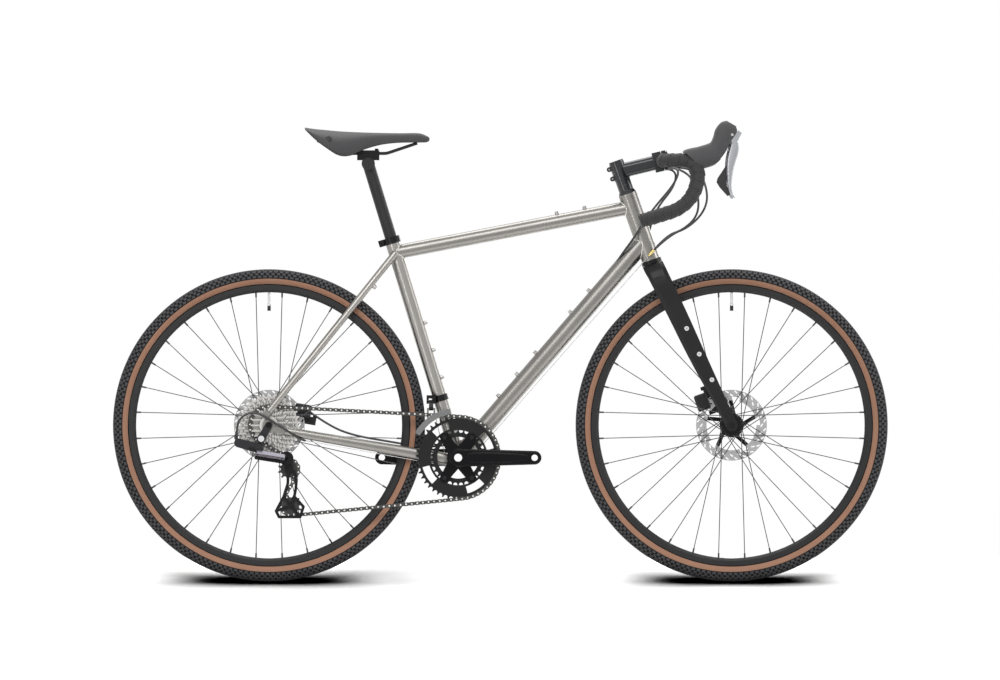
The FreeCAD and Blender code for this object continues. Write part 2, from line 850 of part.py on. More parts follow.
def build_frame_fittings():
    node("rear_axle", solid("RearAxle", through_axle(REAR_AXLE, DROPOUT_INNER, DROPOUT_OUTER)))

    cup_bottom = CROWN_TOP + STEER_UP * mm.loose_gap
    cup_bore = cell.steerer_lower_diameter + cell.turning_fit * 2
    lower = tube("LowerCup", cell.lower_cup_diameter, cup_bore, cup_bottom, HEAD_BOTTOM)
    seat = HEAD_TOP - STEER_UP * mm.upper_bearing_height
    upper_bore = cell.steerer_diameter + cell.turning_fit * 2
    upper = tube("UpperBearing", cell.head_tube_bore, upper_bore, seat, HEAD_TOP)
    headset = group("HeadsetBearings", lower, upper)

    half = mm.bb_shell_width / 2
    bore = mm.spindle_diameter / 2 + mm.turning_fit
    cup = washer(CRANK_AXLE, mm.bb_cup_diameter / 2, bore, half, half + mm.bb_cup_width)
    cup = cup.fuse(washer(CRANK_AXLE, mm.bb_shell_bore / 2, bore, half - mm.bb_cup_sleeve, half))
    cups = solid("BottomBracketCups", pair(cup.removeSplitter()))
    node("frame_bearings", group("FrameBearings", headset, cups))

    base = SEAT_TOP - SEAT_UP * mm.collar_height
    radius = mm.seat_tube_diameter / 2
    ring = Part.makeCylinder(radius + mm.collar_wall, mm.collar_height, base, SEAT_UP)
    middle = base + SEAT_UP * (mm.collar_height / 2)
    reach = radius + mm.collar_wall + mm.collar_ear_length
    half_ear = mm.collar_ear_width / 2
    ear = bar(middle, middle - SEAT_FORWARD * reach, mm.collar_height, -half_ear, half_ear)
    over = SEAT_UP * mm.cut_overrun
    tube_space = tube_body(base - over, SEAT_TOP + over, mm.seat_tube_diameter)
    gap = bar(middle, middle - SEAT_FORWARD * (reach + mm.cut_overrun), mm.collar_height * 2,
              -mm.collar_gap / 2, mm.collar_gap / 2)
    bolt_centre = middle - SEAT_FORWARD * (reach - mm.collar_bolt_diameter)
    half_bolt = mm.collar_bolt_length / 2
    hole = disc(bolt_centre, mm.collar_bolt_diameter / 2 + mm.turning_fit, -half_bolt, half_bolt)
    screw = disc(bolt_centre, mm.collar_bolt_diameter / 2, -half_bolt, half_bolt)
    collar = ring.fuse(ear).removeSplitter().cut([tube_space, gap, hole])
    node("seat_collar", solid("SeatCollar", Part.makeCompound([collar, screw])))

    node("frame_bolts", solid("FrameBolts", Part.makeCompound(frame_bolts())))


def seated_bolt(point, direction, tube_shape):
    """A boss bolt that stands on a round tube, its foot shaped to the tube."""
    sunk = point - direction * mm.boss_height
    foot = Part.makeCylinder(mm.boss_diameter / 2, mm.boss_height, sunk, direction)
    return foot.fuse(boss_bolt(point, direction)).removeSplitter().cut(tube_shape)


def frame_bolts():
    """The bosses and bolts on the top tube, down tube, seat tube and seatstays."""
    pieces = []
    step = mm.bottle_boss_spacing
    top_heading = (TOP_REAR - TOP_FRONT).normalize()
    top_up = Vector(top_heading.z, 0, -top_heading.x)
    top_shape = tube_body(TOP_REAR, TOP_FRONT, mm.top_tube_diameter)
    for distance in (mm.top_boss_from_head, mm.top_boss_from_head + step):
        point = TOP_FRONT + top_heading * distance + top_up * (mm.top_tube_diameter / 2)
        pieces.append(seated_bolt(point, top_up, top_shape))
    down_heading = (DOWN_FRONT - CRANK_AXLE).normalize()
    down_up = Vector(-down_heading.z, 0, down_heading.x)
    down_shape = tube_body(CRANK_AXLE, DOWN_FRONT, mm.down_tube_diameter)
    low = mm.down_boss_low_start
    high = mm.down_boss_high_start
    for distance in (low, low + step, low + 2 * step, high, high + step):
        point = CRANK_AXLE + down_heading * distance + down_up * (mm.down_tube_diameter / 2)
        pieces.append(seated_bolt(point, down_up, down_shape))
    seat_shape = tube_body(CRANK_AXLE, SEAT_TOP, mm.seat_tube_diameter)
    for index in range(3):
        distance = mm.seat_boss_start + index * step
        point = CRANK_AXLE + SEAT_UP * distance + SEAT_FORWARD * (mm.seat_tube_diameter / 2)
        pieces.append(seated_bolt(point, SEAT_FORWARD, seat_shape))
    top = across(SEATSTAY_TOP, mm.seatstay_top_spread)
    foot = across(SEATSTAY_FOOT, DROPOUT_MIDDLE)
    stay_heading = (foot - top).normalize()
    stay_back = stay_heading.cross(Y_AXIS).normalize()
    point = top + stay_heading * mm.stay_boss_from_top + stay_back * (mm.seatstay_diameter / 2)
    stay_bolt = seated_bolt(point, stay_back, tube_body(foot, top, mm.seatstay_diameter))
    pieces.extend([stay_bolt, mirrored(stay_bolt)])
    return pieces


build_main_triangle()
build_rear_triangle()
build_frame_fittings()


# Wheels

RIM_SHOULDER_SHARE = 0.35
ROTOR_SLOT_SHARES = (0.24, 0.72)
ROTOR_FIN_SHARE = 0.7


def build_tyre_and_tube(prefix, axle):
    name = prefix.title()
    ring = cell.tyre_diameter / 2 - cell.tyre_width / 2
    half = cell.tyre_width / 2
    side = Y_AXIS * mm.tyre_width
    outside = torus(name + "TyreOutside", ring, half, axle)
    inside = torus(name + "TyreInside", ring, half - cell.tyre_wall, axle)
    opening = rod(name + "TyreOpening", cell.rim_diameter / 2 + cell.loose_gap, axle - side, axle + side)
    node(prefix + "_tyre", cut(name + "Tyre", outside, inside, opening))

    section = half - cell.tyre_wall - cell.loose_gap
    skin = torus(name + "TubeOutside", ring, section, axle)
    air = torus(name + "TubeInside", ring, section - cell.tube_wall, axle)
    root = axle + Z_AXIS * (ring.value - section.value + mm.tube_wall / 2)
    tip = root - Z_AXIS * mm.valve_length
    stem = rod(name + "ValveStem", cell.valve_diameter / 2, tip, root)
    cap = rod(name + "ValveCap", cell.valve_cap_diameter / 2, tip, tip + Z_AXIS * mm.valve_cap_length)
    node(prefix + "_inner_tube", fuse(name + "InnerTube", cut(name + "TubeSkin", skin, air), stem, cap))


def build_rim(prefix, axle):
    name = prefix.title()
    outer = cell.rim_diameter / 2
    inner = cell.rim_inner_diameter / 2
    shoulder = inner + (outer - inner) * RIM_SHOULDER_SHARE
    half = cell.rim_width / 2
    bed = cell.rim_bed_width / 2
    well = outer - cell.rim_lip
    lip = half - cell.rim_hook
    section = [
        (inner, -bed), (shoulder, -half), (outer, -half), (outer, -lip), (well, -lip),
        (well, lip), (outer, lip), (outer, half), (shoulder, half), (inner, bed),
    ]
    wall = cell.rim_wall
    hollow = [
        (inner + wall, wall - bed), (shoulder, wall - half), (well - wall, wall - half),
        (well - wall, half - wall), (shoulder, half - wall), (inner + wall, bed - wall),
    ]
    ring = turned(name + "RimRing", [section, hollow], axle)
    top = axle + Z_AXIS * mm.rim_diameter / 2
    low = top - Z_AXIS * (mm.rim_diameter - mm.rim_inner_diameter)
    hole = rod(name + "ValveHole", cell.valve_diameter / 2 + cell.turning_fit, low, top)
    node(prefix + "_rim", cut(name + "Rim", ring, hole))


def spoke(axle, rim_angle, hub_angle, flange, offset):
    """One spoke: its bent end through the flange, its shank and its nipple in the rim."""
    radius = mm.spoke_diameter / 2
    root = across(axle + ray(hub_angle) * (mm.spoke_circle / 2), flange + offset)
    tip = axle + ray(rim_angle) * (mm.rim_inner_diameter / 2 + mm.nipple_depth)
    run = (tip - root).normalize()
    shank = Part.makeCylinder(radius, (tip - root).Length, root, run)
    seat = tip - run * mm.nipple_length
    nipple = Part.makeCylinder(mm.nipple_diameter / 2, mm.nipple_length, seat, run)
    bend = Y_AXIS * (-2 * offset)
    return shank.fuse(nipple).fuse(Part.makeCylinder(radius, bend.Length, root, bend)).removeSplitter()


def build_spokes(prefix, axle, right_flange, left_flange):
    count = round(mm.spoke_count)
    step = FULL_TURN / count
    crossing = FULL_TURN * mm.spoke_crossings / (count / 2)
    offset = mm.flange_thickness / 2 + mm.spoke_diameter / 2
    spokes = []
    for index, flange in enumerate((-right_flange, left_flange, -right_flange, left_flange)):
        turn = 1 if index < 2 else -1
        rim_angle = FULL_TURN / 4 + step * (index + 0.5)
        first = spoke(axle, rim_angle, rim_angle + turn * crossing, flange, turn * offset)
        for repeat in range(count // 4):
            copy = first.copy()
            copy.rotate(axle, Y_AXIS, -repeat * 4 * step)
            spokes.append(copy)
    node(prefix + "_spokes", solid(prefix.title() + "Spokes", Part.makeCompound(spokes)))


def build_hub(prefix, axle, right_end, left_end, right_flange, left_flange):
    name = prefix.title()
    bore = cell.hub_bearing_diameter / 2
    shell = cell.hub_shell_diameter / 2
    rim = cell.flange_diameter / 2
    seat = cell.rotor_seat_diameter / 2
    half = cell.flange_thickness / 2
    section = [
        (bore, -right_end), (shell, -right_end), (shell, -right_flange - half), (rim, -right_flange - half),
        (rim, half - right_flange), (shell, half - right_flange), (shell, left_flange - half),
        (rim, left_flange - half), (rim, left_flange + half), (seat, left_flange + half),
        (seat, left_end), (bore, left_end),
    ]
    body = turned(name + "HubShell", [section], axle)
    inner = mm.sleeve_diameter / 2 + mm.turning_fit
    outer = mm.hub_bearing_diameter / 2
    width = mm.hub_bearing_width
    right = washer(axle, outer, inner, -right_end.value, -right_end.value + width)
    left = washer(axle, outer, inner, left_end.value - width, left_end.value)
    bearings = solid(name + "HubBearings", Part.makeCompound([right, left]))
    node(prefix + "_hub", group(name + "Hub", body, bearings))


def build_rotor(prefix, axle, offset):
    """A slotted brake track on a leaning five-armed carrier with cooling fins, and its lock ring."""
    name = prefix.title()
    outer = cell.rotor_diameter / 2
    inner = outer - cell.rotor_track
    near = offset - cell.rotor_thickness / 2
    far = offset + cell.rotor_thickness / 2
    track = turned(name + "RotorTrack", [[(inner, near), (outer, near), (outer, far), (inner, far)]], axle)
    count = round(mm.rotor_slot_count)
    half_slot = mm.rotor_slot_width / 2
    slots = []
    for row, share in enumerate(ROTOR_SLOT_SHARES):
        radius = inner.value + mm.rotor_track * share
        spread = math.degrees(mm.rotor_slot_length / 4 / radius)
        for index in range(count):
            angle = FULL_TURN / count * (index + row / 2)
            start = axle + ray(angle - spread) * (radius - half_slot)
            end = axle + ray(angle + spread) * (radius + half_slot)
            slots.append(capsule(start, half_slot, end, half_slot, near.value, far.value))
    cutter = solid(name + "RotorSlots", Part.makeCompound(slots))
    slotted = cut(name + "RotorRing", track, cutter)

    seat = mm.rotor_seat_diameter / 2 + mm.turning_fit
    hub = seat + mm.rotor_hub_wall
    pieces = []
    arms = round(mm.rotor_arm_count)
    pitch = FULL_TURN / arms
    for index in range(arms):
        angle = pitch * index
        start = axle + ray(angle) * (seat + mm.rotor_hub_wall / 2)
        end = axle + ray(angle + mm.rotor_arm_lean) * (inner.value + mm.rotor_track / 4)
        pieces.append(bar(start, end, mm.rotor_arm_width, near.value, far.value))
        fin_from = angle + mm.rotor_arm_lean
        pieces.append(sector(axle, inner.value - mm.rotor_fin_width, inner.value, fin_from,
                             fin_from + pitch * ROTOR_FIN_SHARE, near.value, far.value))
    carrier = disc(axle, hub, near.value, far.value).fuse(pieces)
    track_space = washer(axle, outer.value, inner.value, near.value, far.value)
    carrier = carrier.cut([disc(axle, seat, near.value, far.value), track_space]).removeSplitter()
    lock_end = far.value + mm.lock_ring_height
    lock = washer(axle, mm.lock_ring_diameter / 2, seat, far.value, lock_end)
    rest = solid(name + "RotorCarrier", Part.makeCompound([carrier, lock]))
    node(prefix + "_rotor", group(name + "Rotor", slotted, rest))


def build_wheel(prefix, axle, right_end, left_end):
    right_flange = cell[prefix + "_right_flange"]
    left_flange = cell[prefix + "_left_flange"]
    build_tyre_and_tube(prefix, axle)
    build_rim(prefix, axle)
    build_spokes(prefix, axle, right_flange.value, left_flange.value)
    build_hub(prefix, axle, right_end, left_end, right_flange, left_flange)
    build_rotor(prefix, axle, cell[prefix + "_rotor_offset"])


FRONT_HUB_END = cell.front_hub_width / 2 - cell.front_hub_end
build_wheel("front", FRONT_AXLE, FRONT_HUB_END, FRONT_HUB_END)
build_wheel("rear", REAR_AXLE, cell.rear_hub_right_end, cell.rear_hub_width / 2 - cell.rear_hub_left_end)


# Sprockets and the chain's loop

CASSETTE_TEETH = (11, 13, 15, 17, 19, 21, 23, 25, 27, 30, 34)
CHAIN_SPROCKET = 5
CASSETTE_HOLES = 8
PITCH_TO_TURN = FULL_TURN / 2


def pitch_radius(teeth):
    return mm.chain_pitch / (2 * math.sin(math.radians(PITCH_TO_TURN / teeth)))


def sprocket(centre, teeth, phase, y_from, y_to, holes):
    """A toothed disc with round holes: round roots that seat the rollers, straight flanks and flat tips."""
    hub = across(centre, y_from)
    root = mm.tooth_root_diameter / 2
    tip_radius = pitch_radius(teeth) + mm.tooth_height
    step = FULL_TURN / teeth
    edges = []
    for index in range(teeth):
        angle = phase + step * index
        seat = hub + ray(angle) * pitch_radius(teeth)
        aside = ray(angle + FULL_TURN / 4) * root
        next_angle = angle + step
        next_seat = hub + ray(next_angle) * pitch_radius(teeth)
        next_aside = ray(next_angle + FULL_TURN / 4) * root
        tip = hub + ray(angle + step / 2) * tip_radius
        half_tip = ray(angle + step / 2 + FULL_TURN / 4) * (mm.tooth_tip / 2)
        edges.append(Part.Arc(seat - aside, seat - ray(angle) * root, seat + aside))
        edges.append(Part.LineSegment(seat + aside, tip - half_tip))
        edges.append(Part.LineSegment(tip - half_tip, tip + half_tip))
        edges.append(Part.LineSegment(tip + half_tip, next_seat - next_aside))
    wires = [Part.Wire([edge.toShape() for edge in edges])]
    for place, radius in holes:
        wires.append(Part.Wire([Part.Circle(across(place, y_from), Y_AXIS, radius).toShape()]))
    face = Part.makeFace(wires, "Part::FaceMakerBullseye")
    return face.extrude(Y_AXIS * (y_to - y_from))


class Loop:
    """A chain's path round sprockets, each with its centre, its teeth and its sense of turning."""

    def __init__(self, wheels):
        self.wheels = wheels
        count = len(wheels)
        headings = [self.heading(wheels[index], wheels[(index + 1) % count]) for index in range(count)]
        self.spans = []
        for index, (centre, teeth, sense) in enumerate(wheels):
            enter = headings[index - 1] - sense * FULL_TURN / 4
            sweep = (sense * (headings[index] - headings[index - 1])) % FULL_TURN
            self.spans.append(("arc", index, enter, sense * sweep, teeth * mm.chain_pitch * sweep / FULL_TURN))
            start = self.on_wheel(index, enter + sense * sweep)
            after = (index + 1) % count
            end = self.on_wheel(after, headings[index] - wheels[after][2] * FULL_TURN / 4)
            self.spans.append(("run", index, start, end, (end - start).Length))
        self.length = sum(span[4] for span in self.spans)

    def on_wheel(self, index, angle):
        centre, teeth, sense = self.wheels[index]
        return centre + ray(angle) * pitch_radius(teeth)

    def heading(self, first, second):
        """The angle of the straight run from one sprocket to the next."""
        run = second[0] - first[0]
        lift = first[2] * pitch_radius(first[1]) - second[2] * pitch_radius(second[1])
        return math.degrees(math.atan2(run.z, run.x) + math.asin(lift / run.Length))

    def pins(self):
        """The chain's pins, one pitch apart, and the angle of one pin on each sprocket."""
        count = round(self.length / mm.chain_pitch)
        step = self.length / count
        points = []
        phases = {}
        for number in range(count):
            rest = number * step
            for kind, index, start, extent, length in self.spans:
                if rest < length:
                    break
                rest -= length
            if kind == "arc":
                phases[index] = start + extent * rest / length
                points.append(self.on_wheel(index, phases[index]))
            else:
                points.append(start + (extent - start) * (rest / length))
        return points, phases


CAGE_PIVOT = REAR_AXLE + Vector(mm.cage_pivot_forward, 0, -mm.cage_pivot_down)
GUIDE_ARM = Vector(mm.guide_forward, 0, -mm.guide_down)
TENSION_ARM = Vector(mm.tension_forward, 0, -mm.tension_down)
CAGE_SEARCH = 35
SEARCH_STEPS = 50


def cage_turned(arm, degrees):
    return CAGE_PIVOT + Rotation(Y_AXIS, degrees).multVec(arm)


def chain_loop(degrees):
    """The chain's path with the cage turned back by an angle."""
    pulley = round(mm.pulley_teeth)
    return Loop([
        (CRANK_AXLE, round(mm.outer_ring_teeth), 1),
        (REAR_AXLE, CASSETTE_TEETH[CHAIN_SPROCKET], 1),
        (cage_turned(GUIDE_ARM, degrees), pulley, -1),
        (cage_turned(TENSION_ARM, degrees), pulley, 1),
    ])


def settle_cage():
    """The cage angle at which a whole even number of links closes the loop."""
    target = 2 * round(chain_loop(0).length / (2 * mm.chain_pitch)) * mm.chain_pitch
    slack = -CAGE_SEARCH
    tight = CAGE_SEARCH
    for step in range(SEARCH_STEPS):
        middle = (slack + tight) / 2
        if chain_loop(middle).length > target:
            slack, tight = (middle, tight) if chain_loop(tight).length < target else (slack, middle)
        else:
            slack, tight = (slack, middle) if chain_loop(tight).length < target else (middle, tight)
    return middle


CAGE_ANGLE = settle_cage()
CHAIN_LOOP = chain_loop(CAGE_ANGLE)
CHAIN_PINS, SPROCKET_PHASES = CHAIN_LOOP.pins()
GUIDE_CENTRE = cage_turned(GUIDE_ARM, CAGE_ANGLE)
TENSION_CENTRE = cage_turned(TENSION_ARM, CAGE_ANGLE)
print(f"chain: {len(CHAIN_PINS)} links, cage turned {CAGE_ANGLE:.2f} degrees")
LINK_WAIST_SHARE = 0.8


def chain_links():
    """The outer and the inner link, centred on the origin and lying along X."""
    half = mm.chain_pitch / 2
    first = Vector(-half, 0, 0)
    last = Vector(half, 0, 0)
    end = mm.chain_plate_height / 2
    inner_from = mm.chain_inner_width / 2
    inner_to = inner_from + mm.chain_plate
    outer_from = inner_to + mm.chain_plate_gap
    outer_to = outer_from + mm.chain_plate
    pin = mm.chain_pin_diameter / 2

    def plates(y_from, y_to):
        plate = capsule(first, end, last, end, y_from, y_to)
        centre = Z_AXIS * (end * LINK_WAIST_SHARE + end)
        plate = plate.cut([disc(centre, end, y_from, y_to), disc(-centre, end, y_from, y_to)])
        return plate, mirrored(plate)

    upper, lower = plates(outer_from, outer_to)
    outer = upper.fuse(lower)
    upper, lower = plates(inner_from, inner_to)
    inner = upper.fuse(lower)
    for place in (first, last):
        outer = outer.fuse(disc(place, pin, -outer_to, outer_to))
        inner = inner.fuse(disc(place, mm.roller_diameter / 2, -inner_from, inner_from))
    for place in (first, last):
        inner = inner.cut(disc(place, pin + mm.chain_plate_gap, -inner_to, inner_to))
    return outer.removeSplitter(), inner


def build_chain():
    links = chain_links()
    placed = []
    for index, start in enumerate(CHAIN_PINS):
        end = CHAIN_PINS[(index + 1) % len(CHAIN_PINS)]
        link = links[index % 2].copy()
        middle = across((start + end) / 2, CHAIN_PLANE)
        link.Placement = Placement(middle, Rotation(X_AXIS, end - start))
        placed.append(link)
    node("chain", solid("Chain", Part.makeCompound(placed)))


def build_cassette():
    """Eleven sprockets and their spacers on the freehub body, held by a lock ring."""
    half = mm.sprocket_thickness / 2
    bore = mm.cassette_bore / 2
    pieces = []
    for index, teeth in enumerate(CASSETTE_TEETH):
        middle = CHAIN_PLANE + (index - CHAIN_SPROCKET) * mm.sprocket_spacing
        phase = SPROCKET_PHASES[1] if index == CHAIN_SPROCKET else 0
        holes = [(REAR_AXLE, bore)]
        web = pitch_radius(teeth) - mm.tooth_root_diameter - mm.cassette_spacer_diameter / 2
        if web > mm.tooth_root_diameter:
            ring = mm.cassette_spacer_diameter / 2 + web / 2
            room = min(web / 2, ring * math.sin(math.pi / CASSETTE_HOLES))
            for hole in range(CASSETTE_HOLES):
                centre = REAR_AXLE + ray(FULL_TURN / CASSETTE_HOLES * hole) * ring
                holes.append((centre, room - mm.tooth_tip))
        pieces.append(sprocket(REAR_AXLE, teeth, phase, middle - half, middle + half, holes))
        if index + 1 < len(CASSETTE_TEETH):
            end = middle + mm.sprocket_spacing - half
            pieces.append(washer(REAR_AXLE, mm.cassette_spacer_diameter / 2, bore, middle + half, end))
    outer = CHAIN_PLANE - CHAIN_SPROCKET * mm.sprocket_spacing - half
    inner = -mm.rear_hub_right_end - mm.loose_gap
    sleeve = mm.sleeve_diameter / 2 + mm.turning_fit
    freehub = disc(REAR_AXLE, bore, outer, inner)
    pieces.append(freehub.cut(disc(REAR_AXLE, sleeve, outer, inner)))
    lock = outer - mm.cassette_lock_height
    pieces.append(washer(REAR_AXLE, mm.cassette_spacer_diameter / 2, sleeve, lock, outer))
    node("cassette", solid("Cassette", Part.makeCompound(pieces)))


# Crankset

SPIDER_ANGLES = (mm.spider_arm_angle, FULL_TURN / 2 - mm.spider_arm_angle,
                 FULL_TURN / 2 + mm.spider_arm_angle, -mm.spider_arm_angle)
WINDOW_OFFSET_SHARE = 1 / 3
# The left arm's two pinch bolts: shares of the arm's thickness, of the room behind the spindle and of the boss
PINCH_DEPTH_SHARES = (0.1925, 0.55)
PINCH_BACK_SHARE = 0.7
PINCH_UP_SHARE = 0.36


def crank_arm(side, heading):
    """An arm with its boss: side is -1 on the right, heading is the way that the arm points."""
    face = mm.crank_pedal_face
    back = face - mm.crank_arm_thickness
    boss = mm.bb_shell_width / 2 + mm.bb_cup_width + mm.loose_gap
    end = CRANK_AXLE + heading * mm.crank_length
    arm = capsule(CRANK_AXLE, mm.crank_boss_diameter / 2, end, mm.crank_end_diameter / 2, back, face)

    def on_face(edge):
        return abs(edge.BoundBox.YMin - face) < mm.turning_fit and edge.BoundBox.YLength < mm.turning_fit

    arm = softened(arm, mm.crank_edge_round, on_face)
    arm = arm.fuse(disc(CRANK_AXLE, mm.crank_boss_diameter / 2, boss, back)).removeSplitter()
    arm = arm.cut(disc(end, mm.pedal_thread_diameter / 2, back, face))
    if side < 0:
        arm = mirrored(arm)
    return arm


def build_crankset():
    half_ring = mm.ring_thickness / 2
    spider_back = CHAIN_PLANE - half_ring
    spider_face = spider_back - mm.spider_thickness
    right = crank_arm(RIGHT, X_AXIS)
    right = right.fuse(disc(CRANK_AXLE, mm.spider_hub_diameter / 2, spider_face, spider_back))
    inner_face = CHAIN_PLANE + mm.ring_spacing - half_ring
    for angle in SPIDER_ANGLES:
        tip = CRANK_AXLE + ray(angle) * mm.spider_radius
        right = right.fuse(capsule(CRANK_AXLE, mm.spider_hub_diameter / 3, tip, mm.spider_end_diameter / 2,
                                   spider_face, spider_back))
        stud = CRANK_AXLE + ray(angle) * mm.inner_ring_spider_radius
        right = right.fuse(disc(stud, mm.ring_bolt_diameter / 2 - half_ring, spider_back, inner_face))
    spindle_end = mm.crank_pedal_face - mm.crank_arm_thickness
    right = right.cut(disc(CRANK_AXLE, mm.spindle_bore / 2, -mm.crank_pedal_face, spindle_end)).removeSplitter()
    spindle = washer(CRANK_AXLE, mm.spindle_diameter / 2, mm.spindle_bore / 2, spider_back, spindle_end)
    node("crank_right", solid("CrankRight", Part.makeCompound([right, spindle])))

    left = crank_arm(LEFT, -X_AXIS)
    left = left.cut(disc(CRANK_AXLE, mm.spindle_diameter / 2 + mm.turning_fit, 0, spindle_end))
    left = left.cut(disc(CRANK_AXLE, mm.spindle_bore / 2, 0, mm.crank_pedal_face))
    screws = []
    clear = mm.spindle_diameter / 2 + mm.pinch_bolt_diameter
    for depth_share in PINCH_DEPTH_SHARES:
        place = spindle_end - mm.crank_arm_thickness * depth_share
        seat = CRANK_AXLE + Vector(-clear * PINCH_BACK_SHARE, place, mm.crank_boss_diameter * PINCH_UP_SHARE)
        hole = Part.makeCylinder(mm.pinch_bolt_diameter / 2, mm.crank_boss_diameter, seat, Z_AXIS)
        left = left.cut(hole)
        screws.append(bolt(seat, Z_AXIS, mm.pinch_bolt_diameter - mm.loose_gap, mm.bolt_head_height,
                           mm.bolt_key_width, mm.bolt_key_depth))
    node("crank_left", solid("CrankLeft", Part.makeCompound([left] + screws)))

    screws = []
    for angle in SPIDER_ANGLES:
        place = CRANK_AXLE + ray(angle) * mm.spider_radius
        screws.append(bolt(across(place, spider_face), -Y_AXIS, mm.ring_bolt_diameter, mm.ring_bolt_head,
                           mm.axle_key_width, mm.ring_bolt_head / 2))
        nut_from = CHAIN_PLANE + half_ring
        screws.append(disc(place, mm.ring_bolt_diameter / 2, nut_from, nut_from + mm.ring_bolt_head))
    node("chainrings", solid("Chainrings", Part.makeCompound([outer_ring(), inner_ring()] + screws)))


def ring_with_tabs(teeth, phase, plane, hole_radius, tab_radius):
    """A chainring: a toothed ring with a tab at each arm of the spider."""
    y_from = plane - mm.ring_thickness / 2
    y_to = plane + mm.ring_thickness / 2
    ring = sprocket(CRANK_AXLE, teeth, phase, y_from, y_to, [(CRANK_AXLE, hole_radius)])
    tabs = []
    for angle in SPIDER_ANGLES:
        tab = CRANK_AXLE + ray(angle) * tab_radius
        root = CRANK_AXLE + ray(angle) * (hole_radius + mm.ring_tab_diameter / 4)
        tabs.append(capsule(root, mm.ring_tab_diameter / 2, tab, mm.ring_tab_diameter / 2, y_from, y_to))
    return ring.fuse(tabs).removeSplitter()


def outer_ring():
    hole = mm.outer_ring_hole_diameter / 2
    ring = ring_with_tabs(round(mm.outer_ring_teeth), SPROCKET_PHASES[0], CHAIN_PLANE, hole, mm.spider_radius)
    quarter = FULL_TURN / 4
    half = mm.ring_window_span / 2
    windows = []
    for index in range(4):
        middle = quarter * (index + WINDOW_OFFSET_SHARE)
        windows.append(sector(CRANK_AXLE, mm.ring_window_inner, mm.ring_window_outer, middle - half,
                              middle + half, CHAIN_PLANE - mm.ring_thickness, CHAIN_PLANE + mm.ring_thickness))
    return ring.cut(windows)


def inner_ring():
    plane = CHAIN_PLANE + mm.ring_spacing
    hole = mm.inner_ring_hole_diameter / 2
    return ring_with_tabs(round(mm.inner_ring_teeth), 0, plane, hole, mm.inner_ring_spider_radius)


build_chain()
build_cassette()
build_crankset()


# Rear derailleur: a slanted parallelogram that carries the cage and its two pulleys

LINK_ALONG = ray(-mm.link_slope)
LINK_ABOVE = ray(FULL_TURN / 4 - mm.link_slope)
SLANT = math.radians(mm.link_slant)
LINK_AXIS = Y_AXIS * math.sin(SLANT) + LINK_ABOVE * math.cos(SLANT)
LINK_ASIDE = Y_AXIS * math.cos(SLANT) - LINK_ABOVE * math.sin(SLANT)
LINK_ROOT = REAR_AXLE + Vector(-mm.link_root_back, -mm.link_root_out, -mm.link_root_down)
LINK_TIP = LINK_ROOT + LINK_ALONG * mm.link_length
LINK_OFFSET = LINK_ASIDE * mm.link_spacing
HANGER_BOLT = REAR_AXLE + Vector(-mm.hanger_back, 0, -mm.hanger_down)
CAGE_OUTER_FACE = CHAIN_PLANE - mm.cage_gap - mm.cage_plate
CAGE_KNUCKLE_FACE = CAGE_OUTER_FACE - mm.loose_gap


def slant_disc(centre, radius, low, high):
    """A cylinder along the link's axis, between two places measured from its centre."""
    return Part.makeCylinder(radius, high - low, centre + LINK_AXIS * low, LINK_AXIS)


def slant_plate(start, end, radius, low, high):
    """A plate square to the link's axis with a round end at each of two points."""
    run = end - start
    aside = LINK_AXIS.cross(run).normalize() * radius
    lift = LINK_AXIS * low
    corners = [start - aside + lift, end - aside + lift, end + aside + lift, start + aside + lift]
    middle = Part.Face(Part.makePolygon(corners + corners[:1])).extrude(LINK_AXIS * (high - low))
    ends = [slant_disc(start, radius, low, high), slant_disc(end, radius, low, high)]
    return middle.fuse(ends).removeSplitter()


def derailleur_link(root):
    """A link with a pin hole at each end."""
    half = mm.link_height / 2
    tip = root + LINK_ALONG * mm.link_length
    link = slant_plate(root, tip, mm.link_width / 2, -half, half)
    hole = mm.link_pin_diameter / 2 + mm.turning_fit
    return link.cut([slant_disc(root, hole, -half, half), slant_disc(tip, hole, -half, half)])


def link_sweep(centre):
    """The room that a pair of links needs to swing in, below the plate that holds their pins."""
    low = mm.link_height / 2 + mm.loose_gap
    return slant_disc(centre + LINK_OFFSET / 2, mm.link_length / 2, -mm.link_length / 4, low)


def knuckle_on_pins(centre, anchor, arm_radius):
    """A plate that holds a pair of link pins, and an arm from it to an anchor."""
    low = mm.link_height / 2 + mm.loose_gap
    high = low + mm.knuckle_plate
    mate = centre + LINK_OFFSET
    plate = slant_plate(centre, mate, mm.link_width / 2, low, high)
    middle = centre + LINK_OFFSET / 2 + LINK_AXIS * high
    arm = Part.makeCylinder(arm_radius, (anchor - middle).Length, middle, anchor - middle)
    pins = []
    for place in (centre, mate):
        pins.append(slant_disc(place, mm.link_pin_diameter / 2, -mm.link_height / 2, high))
    return plate.fuse(arm.cut(link_sweep(centre))), pins


